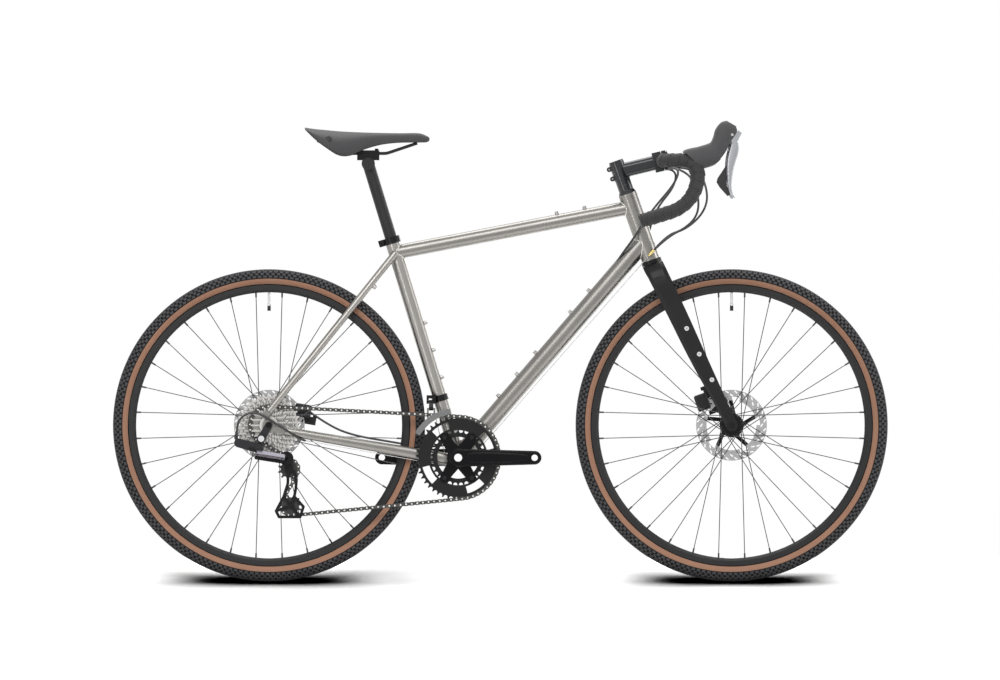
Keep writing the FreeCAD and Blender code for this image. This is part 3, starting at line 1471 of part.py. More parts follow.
def build_rear_derailleur():
    hanger_face = -DROPOUT_OUTER - mm.hanger_thickness
    hanger = capsule(REAR_AXLE, mm.hanger_diameter / 2, HANGER_BOLT, mm.hanger_diameter / 2,
                     hanger_face, -DROPOUT_OUTER)
    hanger = hanger.cut(disc(REAR_AXLE, mm.axle_diameter / 2 + mm.turning_fit, hanger_face, -DROPOUT_OUTER))
    knuckle_face = hanger_face - mm.knuckle_width
    boss = disc(HANGER_BOLT, mm.knuckle_diameter / 2, knuckle_face, hanger_face)
    anchor = across(HANGER_BOLT, (hanger_face + knuckle_face) / 2)
    arm, pins = knuckle_on_pins(LINK_ROOT, anchor, mm.knuckle_diameter / 3)
    stop = HANGER_BOLT + Vector(-mm.cable_stop_back, 0, -mm.cable_stop_down)
    outboard = LINK_ROOT.y - mm.knuckle_width / 2
    body = capsule(stop, mm.cable_stop_diameter / 2, LINK_ROOT + LINK_ABOVE * mm.link_width, mm.link_width,
                   outboard, outboard + mm.knuckle_width)
    knuckle = boss.fuse([arm, body.cut(link_sweep(LINK_ROOT))] + pins).removeSplitter()
    mount_bolt = bolt(across(HANGER_BOLT, knuckle_face), -Y_AXIS, mm.hanger_bolt_diameter, mm.axle_head_height,
                      mm.axle_key_width, mm.axle_head_height / 2)
    shapes = Part.makeCompound([hanger, knuckle, mount_bolt])
    node("derailleur_mount", solid("DerailleurMount", shapes))

    node("derailleur_outer_link", solid("DerailleurOuterLink", derailleur_link(LINK_ROOT)))
    node("derailleur_inner_link", solid("DerailleurInnerLink", derailleur_link(LINK_ROOT + LINK_OFFSET)))

    face = CAGE_KNUCKLE_FACE - mm.knuckle_width
    drum = disc(CAGE_PIVOT, mm.cage_knuckle_diameter / 2, face, CAGE_KNUCKLE_FACE)
    arm, pins = knuckle_on_pins(LINK_TIP, across(CAGE_PIVOT, face + mm.knuckle_width / 2), mm.knuckle_diameter / 3)
    drum = drum.fuse([arm] + pins)
    bore = disc(CAGE_PIVOT, mm.cage_pivot_diameter / 2 + mm.turning_fit, face + mm.knuckle_width / 4,
                CAGE_KNUCKLE_FACE)
    node("derailleur_cage_knuckle", solid("DerailleurCageKnuckle", drum.cut(bore).removeSplitter()))

    node("derailleur_cage", solid("DerailleurCage", derailleur_cage(face)))
    for label, centre, index in (("guide_pulley", GUIDE_CENTRE, 2), ("tension_pulley", TENSION_CENTRE, 3)):
        half = mm.pulley_thickness / 2
        hole = mm.pulley_bore / 2 + mm.turning_fit
        wheel = sprocket(centre, round(mm.pulley_teeth), SPROCKET_PHASES[index], CHAIN_PLANE - half,
                         CHAIN_PLANE + half, [(centre, hole)])
        collar = washer(centre, mm.pulley_bore, hole, CHAIN_PLANE - mm.cage_gap + mm.loose_gap,
                        CHAIN_PLANE + mm.cage_gap - mm.loose_gap)
        node(label, solid(label.title().replace("_", ""), wheel.fuse(collar)))


# The open frame of a cage plate, from the guide pulley down the front, round the tension pulley and up the back,
# in shares of the pulleys' distance from the tension pulley
CAGE_FRAME_SHARES = [
    (0.07, 0.95), (0.15, 0.72), (0.13, 0.46), (0.09, 0.25), (0.34, -0.03), (0.25, -0.31), (-0.33, -0.31),
    (-0.41, -0.15), (-0.2, 0.25), (-0.09, 0.6), (-0.07, 0.95),
]
# Places of the frame that a strut runs to from the tension pulley
CAGE_STRUTS = (3, 5, 7, 8)


def derailleur_cage(knuckle_face):
    """Two open plates joined by the pulley bolts, with a pivot stub that turns in the cage knuckle."""
    plates = []
    span = (GUIDE_CENTRE - TENSION_CENTRE).Length
    width = mm.cage_bar_width / 2
    frame = [TENSION_CENTRE + Vector(ahead, 0, above) * span for ahead, above in CAGE_FRAME_SHARES]
    outer = CHAIN_PLANE - mm.cage_gap
    inner = CHAIN_PLANE + mm.cage_gap
    for y_from, y_to in ((outer - mm.cage_plate, outer), (inner, inner + mm.cage_plate)):
        rim = mm.cage_rim_width / 2
        pieces = [disc(TENSION_CENTRE, width, y_from, y_to), disc(GUIDE_CENTRE, width + rim, y_from, y_to)]
        for start, end in zip(frame, frame[1:]):
            pieces.append(capsule(start, rim, end, rim, y_from, y_to))
        for index in CAGE_STRUTS:
            pieces.append(capsule(TENSION_CENTRE, rim, frame[index], rim, y_from, y_to))
        if y_to < CHAIN_PLANE:
            pieces.append(capsule(CAGE_PIVOT, mm.cage_pivot_diameter, GUIDE_CENTRE, width, y_from, y_to))
        plates.append(pieces[0].fuse(pieces[1:]).removeSplitter())
    bolts = []
    for centre in (GUIDE_CENTRE, TENSION_CENTRE):
        bolts.append(disc(centre, mm.pulley_bore / 2, outer - mm.cage_plate, inner + mm.cage_plate))
    stub_end = knuckle_face + mm.knuckle_width / 3
    bolts.append(disc(CAGE_PIVOT, mm.cage_pivot_diameter / 2, stub_end, outer - mm.cage_plate))
    return plates[0].fuse([plates[1]] + bolts).removeSplitter()


# Front derailleur: a band on the seat tube, a swinging link and the cage

CHANGER_SEAT = CRANK_AXLE + SEAT_UP * mm.changer_height
CHANGER_PIVOT = CHANGER_SEAT + Vector(-mm.changer_body_back, CHAIN_PLANE / 2, -mm.changer_body_size / 2)
CHANGER_LINK_RUN = Vector(0, -mm.changer_link_out, -mm.changer_link_drop)
CHANGER_FOOT = CHANGER_PIVOT + CHANGER_LINK_RUN
CHANGER_INNER_RADIUS = pitch_radius(round(mm.outer_ring_teeth)) + mm.tooth_height + mm.changer_ring_gap


def along_x(centre, radius, half_length):
    return Part.makeCylinder(radius, 2 * half_length, centre - X_AXIS * half_length, X_AXIS)


def build_front_derailleur():
    half = mm.changer_band_height / 2
    low = CHANGER_SEAT - SEAT_UP * half
    tube_radius = mm.seat_tube_diameter / 2
    band = Part.makeCylinder(tube_radius + mm.changer_band_wall, mm.changer_band_height, low, SEAT_UP)
    size = mm.changer_body_size
    pin_reach = mm.changer_link_length / 2 + mm.loose_gap + size / 3
    ears = []
    for side in (1, -1):
        near = CHANGER_PIVOT + X_AXIS * side * (mm.changer_link_length / 2 + mm.loose_gap)
        ears.append(Part.makeCylinder(size / 3, size / 3, near, X_AXIS * side))
    top = size / 2
    bridge_low = mm.changer_pin_diameter / 2 + size / 3
    bridge = Part.makeBox(2 * pin_reach, -CHANGER_PIVOT.y + size / 3, top)
    bridge.translate(Vector(CHANGER_PIVOT.x - pin_reach, CHANGER_PIVOT.y - size / 3, CHANGER_PIVOT.z + bridge_low))
    posts = []
    for side in (1, -1):
        near = mm.changer_link_length / 2 + mm.loose_gap
        post = Part.makeBox(size / 3, size * 2 / 3, bridge_low + top / 2)
        start = near if side > 0 else -near - size / 3
        post.translate(CHANGER_PIVOT + Vector(start, -size / 3, 0))
        posts.append(post)
    pin = along_x(CHANGER_PIVOT, mm.changer_pin_diameter / 2, pin_reach)
    body = band.fuse(ears + [bridge] + posts).removeSplitter()
    tube_space = tube_body(CRANK_AXLE, SEAT_TOP, mm.seat_tube_diameter)
    body = body.cut(tube_space).fuse(pin).removeSplitter()
    node("front_derailleur_clamp", solid("FrontDerailleurClamp", body))

    length = mm.changer_link_length / 2
    radius = mm.changer_pin_diameter
    middle = CHANGER_PIVOT + CHANGER_LINK_RUN / 2
    turn = math.degrees(math.atan2(CHANGER_LINK_RUN.z, CHANGER_LINK_RUN.y))
    web = Part.makeBox(2 * length, CHANGER_LINK_RUN.Length, radius)
    web.translate(Vector(-length, -CHANGER_LINK_RUN.Length / 2, -radius / 2))
    web.Placement = Placement(middle, Rotation(X_AXIS, turn)).multiply(web.Placement)
    link = web.fuse([along_x(CHANGER_PIVOT, radius, length), along_x(CHANGER_FOOT, radius, length)])
    hole = mm.changer_pin_diameter / 2 + mm.turning_fit
    link = link.removeSplitter()
    link = link.cut([along_x(CHANGER_PIVOT, hole, length), along_x(CHANGER_FOOT, hole, length)])
    node("front_derailleur_link", solid("FrontDerailleurLink", link))
    node("front_derailleur_cage", solid("FrontDerailleurCage", changer_cage()))


CHANGER_BRIDGE_SHARE = 0.12


def changer_cage():
    """Two curved plates over the outer ring, bridged at the tail, hung from the link's lower pin."""
    inner = CHANGER_INNER_RADIUS
    outer = inner + mm.changer_plate_height
    near = CHAIN_PLANE - mm.changer_outer_gap
    far = CHAIN_PLANE + mm.changer_inner_gap
    front = mm.changer_front_angle
    tail = mm.changer_tail_angle
    bridge_from = tail - (tail - front) * CHANGER_BRIDGE_SHARE
    pieces = [
        sector(CRANK_AXLE, inner, outer, front, tail, near - mm.changer_plate, near),
        sector(CRANK_AXLE, inner, outer, front, tail, far, far + mm.changer_plate),
        sector(CRANK_AXLE, inner, inner + mm.changer_plate_height / 3, bridge_from, tail, near, far),
    ]
    pin_reach = mm.changer_link_length / 2 + mm.loose_gap + mm.changer_pin_diameter
    pin = along_x(CHANGER_FOOT, mm.changer_pin_diameter / 2, pin_reach)
    half = mm.changer_pin_diameter / 2
    for side in (1, -1):
        place = CHANGER_FOOT + X_AXIS * side * (pin_reach - half)
        ear = Part.makeBox(2 * half, CHANGER_FOOT.y + half - far, 2 * half)
        ear.translate(Vector(place.x - half, far, place.z - half))
        drop = Part.makeBox(2 * half, mm.changer_plate, place.z + half - CRANK_AXLE.z)
        drop.translate(Vector(place.x - half, far, CRANK_AXLE.z))
        below = disc(CRANK_AXLE, inner + mm.changer_plate_height / 2, far, far + mm.changer_plate)
        pieces.extend([ear, drop.cut(below)])
    return pin.fuse(pieces).removeSplitter()


build_rear_derailleur()
build_front_derailleur()


# Fork and front axle

def on_fork(up, forward, y):
    """A point of the fork, measured from the front axle along and ahead of the steering axis."""
    return across(FRONT_AXLE + STEER_UP * up + STEER_FORWARD * forward, y)


# Stations of a blade: shares of the drop from crown to axle, of the offset, and of each taper
BLADE_SHARES = [
    (0.997, 0.985, 0.0, -1.2), (0.955, 0.945, 0.0, -0.35), (0.9, 0.89, 0.03, 0.0), (0.695, 0.68, 0.2, 0.22),
    (0.385, 0.4, 0.5, 0.62), (0.06, 0.05, 1.0, 1.0), (0.0, 0.0, 1.0, 1.0),
]
FACET_SHARE = 0.38
BLADE_TIP_OUT = mm.front_hub_width / 2 + mm.blade_tip_width / 2
# Stations of the crown: shares of its height below its top, of its spread and of its length
CROWN_SHARES = [(0.0, 0.0, 1.0), (0.45, 0.55, 0.95), (1.0, 1.0, 0.74)]


def blade_solid():
    """The left blade: eight-sided sections from the crown to the axle."""
    wires = []
    for up_share, offset_share, taper_share, spread_share in BLADE_SHARES:
        length = mm.blade_top_length + (mm.blade_tip_length - mm.blade_top_length) * taper_share
        width = mm.blade_top_width + (mm.blade_tip_width - mm.blade_top_width) * taper_share
        out = mm.blade_top_spread + (BLADE_TIP_OUT - mm.blade_top_spread) * spread_share
        centre = on_fork(mm.fork_span * up_share, -mm.fork_offset * offset_share, out)
        wires.append(octagon(centre, STEER_FORWARD * (length / 2), Y_AXIS * (width / 2), FACET_SHARE))
    return loft(wires)


def cargo_place(index):
    """A cargo boss on the left blade: its centre, in the plane of symmetry, and how far out its face is."""
    up = mm.cargo_boss_first + mm.bottle_boss_spacing * index
    share = up / mm.fork_span
    forward = -mm.fork_offset * share + mm.cargo_boss_thread
    rest = 1 - share
    out = mm.blade_top_spread + (BLADE_TIP_OUT - mm.blade_top_spread) * rest
    width = mm.blade_top_width + (mm.blade_tip_width - mm.blade_top_width) * rest
    return on_fork(up, forward, 0), out + width / 2


def build_fork():
    blade = blade_solid()
    inner = mm.front_hub_width / 2
    tip = disc(FRONT_AXLE, mm.fork_tip_diameter / 2, inner, inner + mm.blade_tip_width)
    blade = blade.fuse(tip).cut(disc(FRONT_AXLE, mm.fork_tip_diameter, 0, inner))
    holes = [disc(FRONT_AXLE, mm.axle_diameter / 2 + mm.turning_fit, inner, inner + mm.blade_tip_width)]
    for index in range(3):
        centre, face = cargo_place(index)
        blade = blade.fuse(disc(centre, mm.boss_diameter / 2, face - mm.cargo_boss_depth, face + mm.boss_height / 2))
        holes.append(disc(centre, mm.cargo_boss_thread / 2, face + mm.boss_height / 2 - mm.cargo_boss_depth,
                          face + mm.boss_height))
    blade = blade.cut(holes).removeSplitter()

    wires = []
    for down_share, spread_share, length_share in CROWN_SHARES:
        half = mm.crown_top_width / 2 + (mm.crown_half_span - mm.crown_top_width / 2) * spread_share
        centre = CROWN_TOP - STEER_UP * (mm.crown_height * down_share)
        ahead = STEER_FORWARD * (mm.crown_length * length_share / 2)
        wires.append(octagon(centre, ahead, Y_AXIS * half, FACET_SHARE))
    crown = loft(wires)
    low = Part.makeCylinder(mm.steerer_lower_diameter / 2, mm.steerer_taper_start, CROWN_TOP, STEER_UP)
    taper_from = CROWN_TOP + STEER_UP * mm.steerer_taper_start
    taper = Part.makeCone(mm.steerer_lower_diameter / 2, mm.steerer_diameter / 2, mm.lower_cup_height,
                          taper_from, STEER_UP)
    top = STEM_BASE + STEER_UP * (mm.stem_clamp_height - mm.boss_height)
    upper = tube_body(taper_from + STEER_UP * mm.lower_cup_height, top, mm.steerer_diameter)
    bore = tube_body(CROWN_TOP, top, mm.steerer_bore)
    fork = crown.fuse([low, taper, upper, blade, mirrored(blade)]).removeSplitter().cut(bore)
    node("fork", solid("Fork", fork))
    outer = inner + mm.blade_tip_width
    node("front_axle", solid("FrontAxle", through_axle(FRONT_AXLE, inner, outer)))


# Headset spacers, stem and handlebar

STEM_AHEAD = ray(STEM_HEADING)
STEM_ABOVE = ray(STEM_HEADING + FULL_TURN / 4)
STEM_TOP = STEM_BASE + STEER_UP * mm.stem_clamp_height
# The two pinch screws, in shares of the clamp's height
PINCH_SCREW_SHARES = (0.22, 0.78)


def build_spacers():
    bore = mm.steerer_diameter + 2 * mm.turning_fit
    pieces = []
    foot = HEAD_TOP + STEER_UP * mm.loose_gap
    cover = Part.makeCone(mm.head_tube_diameter / 2, mm.head_cover_top_diameter / 2,
                          mm.head_cover_height - mm.loose_gap, foot, STEER_UP)
    pieces.append(cover.cut(tube_body(HEAD_TOP, STEM_BASE, bore)))
    base = HEAD_TOP + STEER_UP * mm.head_cover_height
    for index in range(2):
        low = base + STEER_UP * (mm.spacer_height * index)
        ring = Part.makeCylinder(mm.spacer_diameter / 2, mm.spacer_height, low, STEER_UP)
        pieces.append(ring.cut(tube_body(HEAD_TOP, STEM_BASE, bore)))
    cap = bolt(STEM_TOP, STEER_UP, mm.spacer_diameter, mm.top_cap_height, mm.axle_key_width, mm.bolt_key_depth)
    pieces.append(cap)
    node("headset_spacers", solid("HeadsetSpacers", Part.makeCompound(pieces)))


def stem_box(start, end, height, half_width):
    """A box along the stem, between two distances from the handlebar's centre."""
    return bar(BAR_CENTRE + STEM_AHEAD * start, BAR_CENTRE + STEM_AHEAD * end, height, -half_width, half_width)


def stem_screws(radius):
    """The four faceplate screws and the two pinch screws, as plain shanks with heads."""
    front = mm.bar_clamp_diameter / 2 + mm.stem_face_wall
    lift = mm.bar_clamp_diameter / 2 + mm.stem_bolt_diameter / 2
    screws = []
    for above in (lift, -lift):
        for aside in (mm.stem_bolt_reach, -mm.stem_bolt_reach):
            seat = BAR_CENTRE + STEM_ABOVE * above + Y_AXIS * aside
            start = seat - STEM_AHEAD * mm.stem_bolt_reach
            shank = Part.makeCylinder(radius, mm.stem_bolt_reach + front / 2, start, STEM_AHEAD)
            screws.append((shank, seat + STEM_AHEAD * (front / 2), STEM_AHEAD))
    behind = mm.steerer_diameter / 2 + mm.stem_clamp_wall + mm.stem_bolt_diameter / 2
    for share in PINCH_SCREW_SHARES:
        place = STEM_BASE + STEER_UP * (mm.stem_clamp_height * share) - STEER_FORWARD * behind
        start = place - Y_AXIS * mm.stem_bolt_reach
        shank = Part.makeCylinder(radius, 2 * mm.stem_bolt_reach, start, Y_AXIS)
        screws.append((shank, place + Y_AXIS * mm.stem_bolt_reach, Y_AXIS))
    return screws


def build_stem():
    wall = mm.stem_clamp_wall
    radius = mm.steerer_diameter / 2
    clamp = tube_body(STEM_BASE, STEM_TOP, mm.steerer_diameter + 2 * wall)
    behind = radius + wall + mm.stem_bolt_diameter / 2
    lugs = []
    for share in PINCH_SCREW_SHARES:
        root = STEM_BASE + STEER_UP * (mm.stem_clamp_height * share)
        lugs.append(capsule(root - STEER_FORWARD * behind, mm.stem_lug_diameter / 2, root - STEER_FORWARD * radius,
                            mm.stem_lug_diameter / 2, -mm.stem_bolt_reach, mm.stem_bolt_reach))
    slot = bar(STEM_CENTRE, STEM_CENTRE - STEER_FORWARD * 2 * behind, 2 * mm.stem_clamp_height,
               -mm.stem_slot_width / 2, mm.stem_slot_width / 2)
    half_body = mm.stem_body_width / 2
    gap = mm.loose_gap * 2
    arm = stem_box(-mm.stem_length, -gap, mm.stem_body_height, half_body)
    arm = softened(arm, mm.stem_edge_round, lambda edge: edge.BoundBox.DiagonalLength > mm.stem_length / 2)
    half_face = mm.stem_face_width / 2
    reach = mm.bar_clamp_diameter / 2 + mm.stem_face_wall
    back = stem_box(-reach, -gap, mm.stem_face_height, half_face)
    front = stem_box(gap, reach / 2, mm.stem_face_height, half_face)
    nose = disc(BAR_CENTRE, reach, -half_face, half_face).common(stem_box(gap, reach, 2 * reach, half_face))
    bar_space = disc(BAR_CENTRE, mm.bar_clamp_diameter / 2, -half_face, half_face)
    screws = stem_screws(mm.stem_bolt_diameter / 4)
    holes = [shank for shank, seat, heading in stem_screws(mm.stem_bolt_diameter / 4 + mm.turning_fit)]
    steerer_space = tube_body(STEM_BASE - STEER_UP * mm.cut_overrun, STEM_TOP + STEER_UP * mm.cut_overrun,
                              mm.steerer_diameter + 2 * mm.turning_fit)
    body = clamp.fuse([arm, back] + lugs).removeSplitter()
    body = body.cut([steerer_space, slot, bar_space] + holes)
    node("stem", solid("Stem", body))
    plate = front.fuse(nose).removeSplitter().cut([bar_space] + holes)
    heads = []
    for shank, seat, heading in screws:
        head = bolt(seat, heading, mm.stem_bolt_diameter, mm.bolt_head_height, mm.stem_key_width,
                    mm.bolt_key_depth)
        room = Part.makeCylinder(mm.stem_bolt_diameter / 2 + mm.turning_fit, mm.stem_bolt_reach, seat, heading)
        plate = plate.cut(room)
        heads.append(shank.fuse(head).removeSplitter())
    node("stem_faceplate", solid("StemFaceplate", plate))
    node("stem_bolts", solid("StemBolts", Part.makeCompound(heads)))


FLARE_SLOPE = math.tan(math.radians(mm.bar_flare))
TAIL_FALL = math.tan(math.radians(mm.bar_tail_slope))


def drop_point(forward, rise):
    """A point of the left drop, which leans out by the flare below the ramp."""
    fall = max(mm.bar_ramp_rise - rise, 0)
    return BAR_CENTRE + Vector(forward, mm.bar_half_width + fall * FLARE_SLOPE, rise)


BAR_BEND = BAR_CENTRE + Y_AXIS * mm.bar_half_width
BAR_FRONT = drop_point(mm.bar_reach, mm.bar_ramp_rise)
BAR_HOOK = drop_point(mm.bar_reach, (mm.bar_reach + mm.bar_tail_back) * TAIL_FALL - mm.bar_drop)
BAR_END = drop_point(-mm.bar_tail_back, -mm.bar_drop)
BEND_RADII = [mm.bar_corner_radius, mm.bar_ramp_radius, mm.bar_hook_radius]


def half_bar_path(start):
    """The handlebar's centre line on the left, from a distance off the middle to the end of the drop."""
    return rounded_path([BAR_CENTRE + Y_AXIS * start, BAR_BEND, BAR_FRONT, BAR_HOOK, BAR_END], BEND_RADII)


def build_handlebar():
    radius = mm.bar_diameter / 2
    swell = mm.bar_clamp_length / 2
    side = half_bar_path(swell)
    arm = pipe(side, radius).cut(pipe(side, radius - mm.bar_wall))
    centre = disc(BAR_CENTRE, mm.bar_clamp_diameter / 2, -swell, swell)
    cone = Part.makeCone(mm.bar_clamp_diameter / 2, radius, mm.tape_start - swell, BAR_CENTRE + Y_AXIS * swell,
                         Y_AXIS)
    cone = cone.cut(disc(BAR_CENTRE, radius, swell, mm.tape_start))
    centre = centre.cut(disc(BAR_CENTRE, radius - mm.bar_wall, -swell, swell))
    whole = centre.fuse([arm, mirrored(arm), cone, mirrored(cone)]).removeSplitter()
    node("handlebar", solid("Handlebar", whole))

    wrap = half_bar_path(mm.tape_start)
    sleeve = pipe(wrap, radius + mm.tape_thickness).cut(pipe(wrap, radius))
    heading = (BAR_END - BAR_HOOK).normalize()
    plug = Part.makeCylinder(radius + mm.tape_thickness, mm.plug_length, BAR_END, heading)
    node("bar_tape", solid("BarTape", Part.makeCompound([sleeve, mirrored(sleeve), plug, mirrored(plug)])))


# Hoods, brake levers and shift paddles

# Stations of a hood: shares ahead, above, the lean of the section, and its half height and half width
HOOD_SHARES = [
    (0.44, 0.036, 118, 0.225, 0.96), (0.52, 0.055, 115, 0.232, 1.0), (0.605, 0.086, 111, 0.23, 1.0),
    (0.737, 0.159, 106, 0.228, 1.0), (0.825, 0.326, 118, 0.224, 1.0), (0.891, 0.535, 139, 0.207, 0.97),
    (0.967, 0.692, 150, 0.2, 0.84), (1.0, 0.765, 150, 0.125, 0.5),
]
# Stations of a brake lever below its pivot: shares ahead, above and of half the blade's width
LEVER_SHARES = [
    (0.036, -0.067, 0.65), (0.029, -0.224, 0.98), (-0.008, -0.383, 0.94), (-0.034, -0.541, 0.69),
    (-0.041, -0.698, 0.51), (-0.027, -0.856, 0.39), (0.029, -0.99, 0.36),
]
# Outline of the lever's nose, ahead of its pivot, in shares of the lever's length
NOSE_SHARES = [
    (-0.01, 0.03), (0.042, 0.02), (0.1, 0.07), (0.152, 0.025), (0.11, -0.05), (0.09, -0.1), (0.02, -0.1),
]
# Outline of a shift paddle: shares of the lever's length ahead of and above the lever's pivot
PADDLE_SHARES = [
    (-0.01, -0.252), (-0.049, -0.392), (-0.082, -0.478), (-0.208, -0.667), (-0.224, -0.73), (-0.176, -0.809),
    (-0.05, -0.951), (-0.014, -0.93), (-0.091, -0.79), (-0.091, -0.72), (-0.028, -0.566), (0.021, -0.406),
    (0.032, -0.252),
]
# Outline of the lever's slot in the hood, in shares of the lever's length from the pivot
SLOT_SHARES = [(0.18, 0.17), (0.18, -0.38), (-0.26, -0.38), (-0.19, -0.23), (-0.08, -0.02), (0.0, 0.1)]
SECTION_TURNS = 12
SECTION_POWER_SHARE = 0.8
LEVER_PIVOT = BAR_CENTRE + Vector(mm.lever_pivot_forward, mm.bar_half_width, mm.lever_pivot_rise)
PADDLE_DROP_SHARE = 0.23
PADDLE_PIN = LEVER_PIVOT + Vector(mm.paddle_thickness / 2, 0, -mm.lever_length * PADDLE_DROP_SHARE)


def full_round(centre, along, aside):
    """A smooth closed wire, a little squarer than an ellipse."""
    points = []
    for index in range(SECTION_TURNS):
        turn = 2 * math.pi * index / SECTION_TURNS
        lengthwise = math.copysign(abs(math.cos(turn)) ** SECTION_POWER_SHARE, math.cos(turn))
        sidewise = math.copysign(abs(math.sin(turn)) ** SECTION_POWER_SHARE, math.sin(turn))
        points.append(centre + along * lengthwise + aside * sidewise)
    curve = Part.BSplineCurve()
    curve.interpolate(points, True)
    return Part.Wire([curve.toShape()])


def from_lever(ahead_share, above_share):
    return LEVER_PIVOT + Vector(ahead_share, 0, above_share) * mm.lever_length


def ear_room():
    """The space in the left hood that the lever's ears move in."""
    pin = paddle_pin()
    reach = mm.paddle_pin_length / 2 + mm.loose_gap + mm.paddle_thickness
    drop = mm.paddle_pin_diameter + mm.lever_slot_gap
    deep = LEVER_PIVOT.y - pin.y + drop
    space = Part.makeBox(2 * reach + mm.lever_ear_room, deep, 2 * drop + mm.paddle_pin_diameter)
    space.translate(Vector(PADDLE_PIN.x - reach - mm.lever_ear_room, pin.y - drop, pin.z - drop))
    return space


def build_hoods():
    wires = []
    for ahead, above, lean, height, width in HOOD_SHARES:
        centre = BAR_BEND + Vector(ahead * mm.hood_length, 0, above * mm.hood_height)
        wires.append(full_round(centre, ray(lean) * (height * mm.hood_height), Y_AXIS * (width * mm.hood_width / 2)))
    hood = loft(wires)
    half = mm.lever_thickness / 2 + mm.lever_slot_gap
    slot = prism([from_lever(*shares) for shares in SLOT_SHARES], LEVER_PIVOT.y - half, LEVER_PIVOT.y + half)
    room = disc(LEVER_PIVOT, mm.lever_boss_diameter / 2 + mm.lever_slot_gap, LEVER_PIVOT.y - half,
                LEVER_PIVOT.y + half)
    wrap = pipe(half_bar_path(mm.tape_start), mm.bar_diameter / 2 + mm.tape_thickness)
    hood = hood.cut([slot, room, wrap, ear_room()])
    hood = max(hood.Solids, key=lambda piece: piece.Volume)
    pin_half = mm.hood_width / 2 - mm.lever_slot_gap * 3
    pin = disc(LEVER_PIVOT, mm.lever_pin_diameter / 2, LEVER_PIVOT.y - pin_half, LEVER_PIVOT.y + pin_half)
    hood = hood.cut(pin)
    pieces = [hood, mirrored(hood), pin, mirrored(pin)]
    node("lever_hoods", solid("LeverHoods", Part.makeCompound(pieces)))


def lever_solid():
    """The left brake lever: its boss on the pin, its curved blade, and the ears of the paddle's pin."""
    half = mm.lever_thickness / 2
    y_from = LEVER_PIVOT.y - half
    y_to = LEVER_PIVOT.y + half
    wires = []
    for ahead, above, width in LEVER_SHARES:
        wires.append(full_round(from_lever(ahead, above), X_AXIS * (width * mm.lever_blade_width / 2), Y_AXIS * half))
    blade = loft(wires)
    boss = mm.lever_boss_diameter / 2
    neck = from_lever(LEVER_SHARES[0][0], LEVER_SHARES[0][1] * 2)
    head = capsule(LEVER_PIVOT, boss, neck, boss, y_from, y_to)
    pin = paddle_pin()
    ears = []
    reach = mm.paddle_pin_length / 2 + mm.loose_gap
    for side in (1, -1):
        ear = Part.makeBox(mm.paddle_thickness, half + mm.paddle_pin_diameter, 2 * mm.paddle_pin_diameter)
        start = reach if side > 0 else -reach - mm.paddle_thickness
        ear.translate(Vector(PADDLE_PIN.x + start, pin.y - mm.paddle_pin_diameter, pin.z - mm.paddle_pin_diameter))
        ears.append(ear)
    shaft = along_x(pin, mm.paddle_pin_diameter / 2, reach + mm.paddle_thickness / 2)
    nose = prism([from_lever(*shares) for shares in NOSE_SHARES], y_from, y_to)
    lever = blade.fuse([head, nose] + ears).removeSplitter()
    barrel = along_x(pin, mm.paddle_pin_diameter + mm.loose_gap, reach)
    hole = disc(LEVER_PIVOT, mm.lever_pin_diameter / 2 + mm.turning_fit, y_from, y_to)
    return lever.cut([hole, barrel]).fuse(shaft).removeSplitter()


def paddle_pin():
    """The middle of the paddle's pin, inboard of the left lever."""
    inboard = mm.lever_thickness / 2 + mm.loose_gap + mm.paddle_pin_diameter
    return across(PADDLE_PIN, LEVER_PIVOT.y - inboard)


def paddle_solid():
    """The left shift paddle: a thin leaf on a barrel that turns on the lever's pin."""
    pin = paddle_pin()
    outline = [from_lever(*shares) for shares in PADDLE_SHARES]
    half = mm.paddle_thickness / 2
    leaf = prism(outline, pin.y - half, pin.y + half)
    neck = Part.makeBox(mm.paddle_pin_length, mm.paddle_thickness, mm.paddle_pin_diameter * 2)
    neck.translate(Vector(pin.x - mm.paddle_pin_length / 2, pin.y - half, pin.z - mm.paddle_pin_diameter * 2))
    barrel = along_x(pin, mm.paddle_pin_diameter, mm.paddle_pin_length / 2)
    paddle = barrel.fuse([leaf, neck]).removeSplitter()
    return paddle.cut(along_x(pin, mm.paddle_pin_diameter / 2 + mm.turning_fit, mm.paddle_pin_length))


def build_levers():
    lever = lever_solid()
    paddle = paddle_solid()
    node("brake_lever_left", solid("BrakeLeverLeft", lever))
    node("brake_lever_right", solid("BrakeLeverRight", mirrored(lever)))
    node("shift_paddle_left", solid("ShiftPaddleLeft", paddle))
    node("shift_paddle_right", solid("ShiftPaddleRight", mirrored(paddle)))


# Brake calipers

CALIPER_OUT_SHARE = 0.12
PAD_SHARE = 0.55


